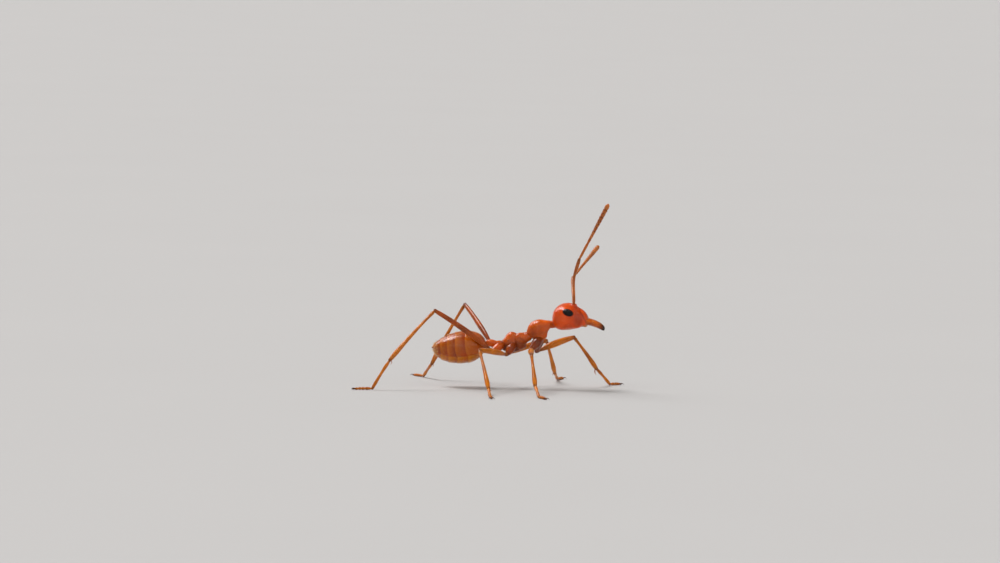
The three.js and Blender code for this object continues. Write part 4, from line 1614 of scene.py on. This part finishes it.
def down_tree():
    """Scatters roots over a skin and stands a hair on each, by the skin's marks down and lie."""
    tree, given = new_tree("down", {
        "Hair": "Object", "Density": "Float", "Length": "Float", "Width": "Float",
        "Lift": "Float", "Disorder": "Float", "Seed": "Int", "Material": "Material",
    })
    down, lie = named(tree, "down", "FLOAT"), named(tree, "lie", "FLOAT_VECTOR")
    thick = product(tree, given["Density"], down)
    inputs = {"Mesh": given["Geometry"], "Density": thick, "Seed": given["Seed"]}
    spots = add_node(tree, "GeometryNodeDistributePointsOnFaces", inputs)
    unwrap = named(tree, "Unwrap", "FLOAT_VECTOR")
    inputs = {"Geometry": spots.outputs["Points"], "Name": "root", "Value": unwrap}
    rooted = add_node(
        tree, "GeometryNodeStoreNamedAttribute", inputs, data_type="FLOAT_VECTOR", domain="POINT",
    )
    inputs = {"Min": (-1, -1, -1), "Max": (1, 1, 1), "Seed": given["Seed"]}
    chance = add_node(tree, "FunctionNodeRandomValue", inputs, data_type="FLOAT_VECTOR")
    leaning = total(tree, lie, scaled(tree, spots.outputs["Normal"], given["Lift"]))
    way = total(tree, leaning, scaled(tree, chance.outputs["Value"], given["Disorder"]))
    longer = add_node(tree, "FunctionNodeRandomValue", {2: 0.55, 3: 1.2}, data_type="FLOAT").outputs[1]
    length = product(tree, product(tree, given["Length"], down), longer)
    size = add_node(tree, "ShaderNodeCombineXYZ", {"X": given["Width"], "Y": given["Width"], "Z": length})
    turn = turned_along(tree, way, lie)
    finish_tree(tree, rooted.outputs[0], given["Hair"], turn, size.outputs[0], given["Material"])
    return tree


DOWN = down_tree()
print("the tree that grows hairs has", len(DOWN.nodes), "nodes")

# %% Grow a coat and unwrap it
PATCH = 0.003  # the width of one hair's patch on the coat's unwrap, and the margin round each skin's part
KEPT = 0.994  # the share of that part that is left between the margins


def vector_mark(mesh, name):
    """A mesh's mark of directions or places, one row for each point."""
    flat = np.empty(3 * len(mesh.vertices))
    mesh.attributes[name].data.foreach_get("vector", flat)
    return flat.reshape(-1, 3)


def grown(name, skin, settings, number, count):
    """The hairs of one skin. Each hair's patch lies at its root's place in the skin's own column."""
    mesh = plain_mesh(skin, DOWN, settings)
    places = vector_mark(mesh, "root")[:, :2] * KEPT + PATCH + PATCH * vector_mark(mesh, "tuft")[:, :2]
    places[:, 0] = (places[:, 0] + number) / count
    for layer in list(mesh.uv_layers):
        mesh.uv_layers.remove(layer)
    for mark in ("root", "tuft", "Unwrap", "shade", "lie", "down"):
        if mark in mesh.attributes:
            mesh.attributes.remove(mesh.attributes[mark])
    mesh.uv_layers.new(name="OFBake").data.foreach_set("uv", places[corner_points(mesh)].ravel())
    return piece_from(mesh, f"{name}_{number}")


def coat(name, slot, skins, density, length, width, lift, seed, disorder=0.18):
    """One piece of down over several skins, whose unwraps stand side by side on the coat's own."""
    settings = {
        "Hair": HAIR, "Density": density / MM**2, "Length": length, "Width": width,
        "Lift": lift, "Disorder": disorder, "Material": HAIR_GOLD,
    }
    coats = [
        grown(name, skin, settings | {"Seed": seed + number}, number, len(skins))
        for number, skin in enumerate(skins)
    ]
    whole = join_pieces(name, coats) if len(coats) > 1 else coats[0]
    whole.name = name
    wear(whole, slot)
    print(name, "has", len(whole.data.polygons) // len(hair_faces), "hairs")


print("each hair's patch is", PATCH, "of the coat's unwrap wide")

# %% Down on every part
trunk_plates = [pronotum, mesothorax, propodeum, petiole]
gaster_plates = back_plates + belly_plates
head_hair = {"density": 520, "length": 0.040, "width": 0.0015, "lift": 0.2, "disorder": 0.12}
trunk_hair = {"density": 440, "length": 0.044, "width": 0.0016, "lift": 0.2}
gaster_hair = {"density": 430, "length": 0.052, "width": 0.0017, "lift": 0.2}
antenna_hair = {"density": 900, "length": 0.038, "width": 0.0019, "lift": 0.3}
leg_hair = {"density": 480, "length": 0.046, "width": 0.0019, "lift": 0.32}
coat("down_head", "head_cuticle", [head], **head_hair, seed=11)
coat("down_trunk", "trunk_cuticle", trunk_plates, **trunk_hair, seed=21)
coat("down_gaster", "gaster_cuticle", gaster_plates, **gaster_hair, seed=41)
for side, seed in (("left", 61), ("right", 71)):
    coat(f"down_antenna_{side}", "antenna_cuticle", list(feelers[side]), **antenna_hair, seed=seed)
for number, leg in enumerate(LEGS):
    coat(f"down_{leg}", "leg_cuticle", leg_skins[leg], **leg_hair, seed=101 + 10 * number)

# %% [markdown]
# ## Bristles
# The stiff hairs stand up from a few places only, so they are the same tree again with fewer, longer and
# steeper hairs. For them the skin's mark is changed for a while, to 1 on the patch that has bristles and
# to 0 elsewhere: the lower edge of the clypeus, the whole of each jaw, and the tip of the gaster.

# %% Bristles on the mouth, the jaws and the tip
MOUTH_PATCH = 0.26  # how far from the middle of the clypeus's edge the bristles grow, in mm


def bristles(name, slot, skin, keep, seed, **look):
    """Long hairs on the part of a skin where keep, one value for each point, is above zero."""
    marks = skin.data.attributes["down"].data
    old = np.empty(len(marks))
    marks.foreach_get("value", old)
    marks.foreach_set("value", keep * 1.0)
    coat(name, slot, [skin], **look, seed=seed, disorder=0.35)
    marks.foreach_set("value", old)


def skin_points(piece):
    """A piece's points in millimetres."""
    return mesh_arrays(piece.data)[0]


clypeus_edge = shares_of("head")[0](0.93, 0, 0.36)
from_edge = np.linalg.norm((skin_points(head) - clypeus_edge) * [1, 0.55, 1], axis=1)
bristles(
    "bristles_face", "head_cuticle", head, from_edge < MOUTH_PATCH, seed=3,
    density=60, length=0.16, width=0.006, lift=1.2,
)
for side, blade in jaws.items():
    bristles(
        f"bristles_jaw_{side}", "mandible_cuticle", blade, np.ones(len(blade.data.vertices)), seed=5,
        density=55, length=0.08, width=0.0038, lift=0.6,
    )
tips = (
    ("bristles_tip", back_plates[4], 0.30, 0.15, 7),
    ("bristles_tip_belly", belly_plates[4], 0.34, 0.16, 9),
)
for name, plate, patch, length, seed in tips:
    near_tip = skin_points(plate)[:, 0] < gaster_end[0] + patch
    bristles(
        name, "gaster_cuticle", plate, near_tip, seed=seed,
        density=150, length=length, width=0.0055, lift=0.6,
    )
bpy.data.objects.remove(HAIR)

# %% [markdown]
# ## The stage
# The model stands on a plain pale floor that runs out of sight. The sky is pale at the horizon and greyer
# above. A wide softbox behind and to the left lights the backs of the plates, a smaller and brighter one
# nearly overhead draws the gleams on them, and a very wide one lights the side that faces the camera. All
# are set far away, so that the floor is lit evenly, and are given by how wide they look from the model,
# which makes their light soft.

# %% The floor
FLOOR_REACH = 10000.0


def floor_paint():
    """A matt pale grey with the faintest of clouds."""
    material, tree, place = new_material("pale_floor")
    clouds = noise(tree, place, 25.0, 3.0)
    fine = noise(tree, place, 0.25, 2.0)
    patterns = {
        "Base Color": mix_colours(tree, clouds, tint("bebcb9"), tint("bcbab7")),
        "Roughness": ranged(tree, fine, 0.6, 0.75),
        "Normal": bumped(tree, fine, 0.1, 0.002),
    }
    set_shader(tree, patterns, {"Specular IOR Level": 0.1})
    return material


edge = [[-1, -1, 0], [1, -1, 0], [1, 1, 0], [-1, 1, 0]]
floor = add_piece("floor", np.array(edge) * FLOOR_REACH, [[0, 1, 2, 3]], floor_paint())
print("the floor reaches", FLOOR_REACH * MM, "m each way")

# %% The sky
HORIZON, OVERHEAD = 0.80, 0.20  # how bright the sky is
HORIZON_TOP, OVERHEAD_FROM = 0.07, 0.30  # the heights between which it changes, 1 being straight up
scene = bpy.context.scene
scene.world = bpy.data.worlds.new("pale_sky")
scene.world.use_nodes = True
sky_tree = scene.world.node_tree
sky = sky_tree.nodes["Background"]
sky.inputs["Color"].default_value = tint("e2dfdb")
way = add_node(sky_tree, "ShaderNodeTexCoord").outputs["Generated"]
rise = add_node(sky_tree, "ShaderNodeSeparateXYZ", {"Vector": way}).outputs["Z"]
strength = ranged(sky_tree, rise, HORIZON, OVERHEAD, HORIZON_TOP, OVERHEAD_FROM)
sky_tree.links.new(strength, sky.inputs["Strength"])
scene.view_settings.view_transform = "Standard"
print("the sky goes from", HORIZON, "at the horizon to", OVERHEAD, "overhead")

# %% Softboxes
def softbox(name, way, spread, strength, colour):
    """A far-off round softbox that looks spread degrees wide from the model and lights all of it evenly."""
    lamp = bpy.data.lights.new(name, "SUN")
    lamp.angle = math.radians(spread)
    lamp.energy = strength
    lamp.color = colour
    light = bpy.data.objects.new(name, lamp)
    bpy.context.scene.collection.objects.link(light)
    light.rotation_euler = (-Vector(way)).to_track_quat("-Z", "Y").to_euler()
    return light


key = softbox("key", (-0.50, 0.52, 0.68), 40, 1.3, (0.97, 0.97, 1.0))
window = softbox("window", (-0.38, 0.14, 0.91), 26, 2.2, (0.97, 0.97, 1.0))
fill = softbox("fill", (0.45, -0.80, 0.42), 100, 1.15, (1.0, 0.99, 0.97))
print("softboxes:", {light.name: round(light.data.energy, 2) for light in (key, window, fill)})

# %% Camera
CAMERA_FAR = 300.0
CAMERA_RISE = math.radians(4)
CAMERA_ROLL = math.radians(1.26)
FRAME_WIDTH = 55.0  # how much of the scene the picture is wide at the model, in mm
AIM_AHEAD = 0.033  # where the camera aims, as shares of the box's length and height
AIM_UP = 0.5622
SENSOR = 36.0
length, height = (cad_box[1][0] - cad_box[0][0]) / MM, cad_box[1][2] / MM
target = Vector([AIM_AHEAD * length, MIDDLE, AIM_UP * height])
back = Vector([0, -math.cos(CAMERA_RISE), math.sin(CAMERA_RISE)])
camera = bpy.data.objects.new("camera", bpy.data.cameras.new("camera"))
scene.collection.objects.link(camera)
camera.location = (target + CAMERA_FAR * back) * MM
camera.rotation_mode = "QUATERNION"
roll = Matrix.Rotation(CAMERA_ROLL, 3, "Z").to_quaternion()
camera.rotation_quaternion = (-back).to_track_quat("-Z", "Y") @ roll
camera.data.sensor_width = SENSOR
camera.data.lens = SENSOR * CAMERA_FAR / FRAME_WIDTH
camera.data.clip_start = 0.001
camera.data.clip_end = 100.0
scene.camera = camera
print("camera at", [round(c / MM, 1) for c in camera.location], "mm")

# %% [markdown]
# ## The size of the solids
# The skins should fill the same box as the solids. The box of the solids is printed, in millimetres.

# %% Sizes
print("solids:", [round(s / MM, 2) for s in cad_box[1] - cad_box[0]], "mm")
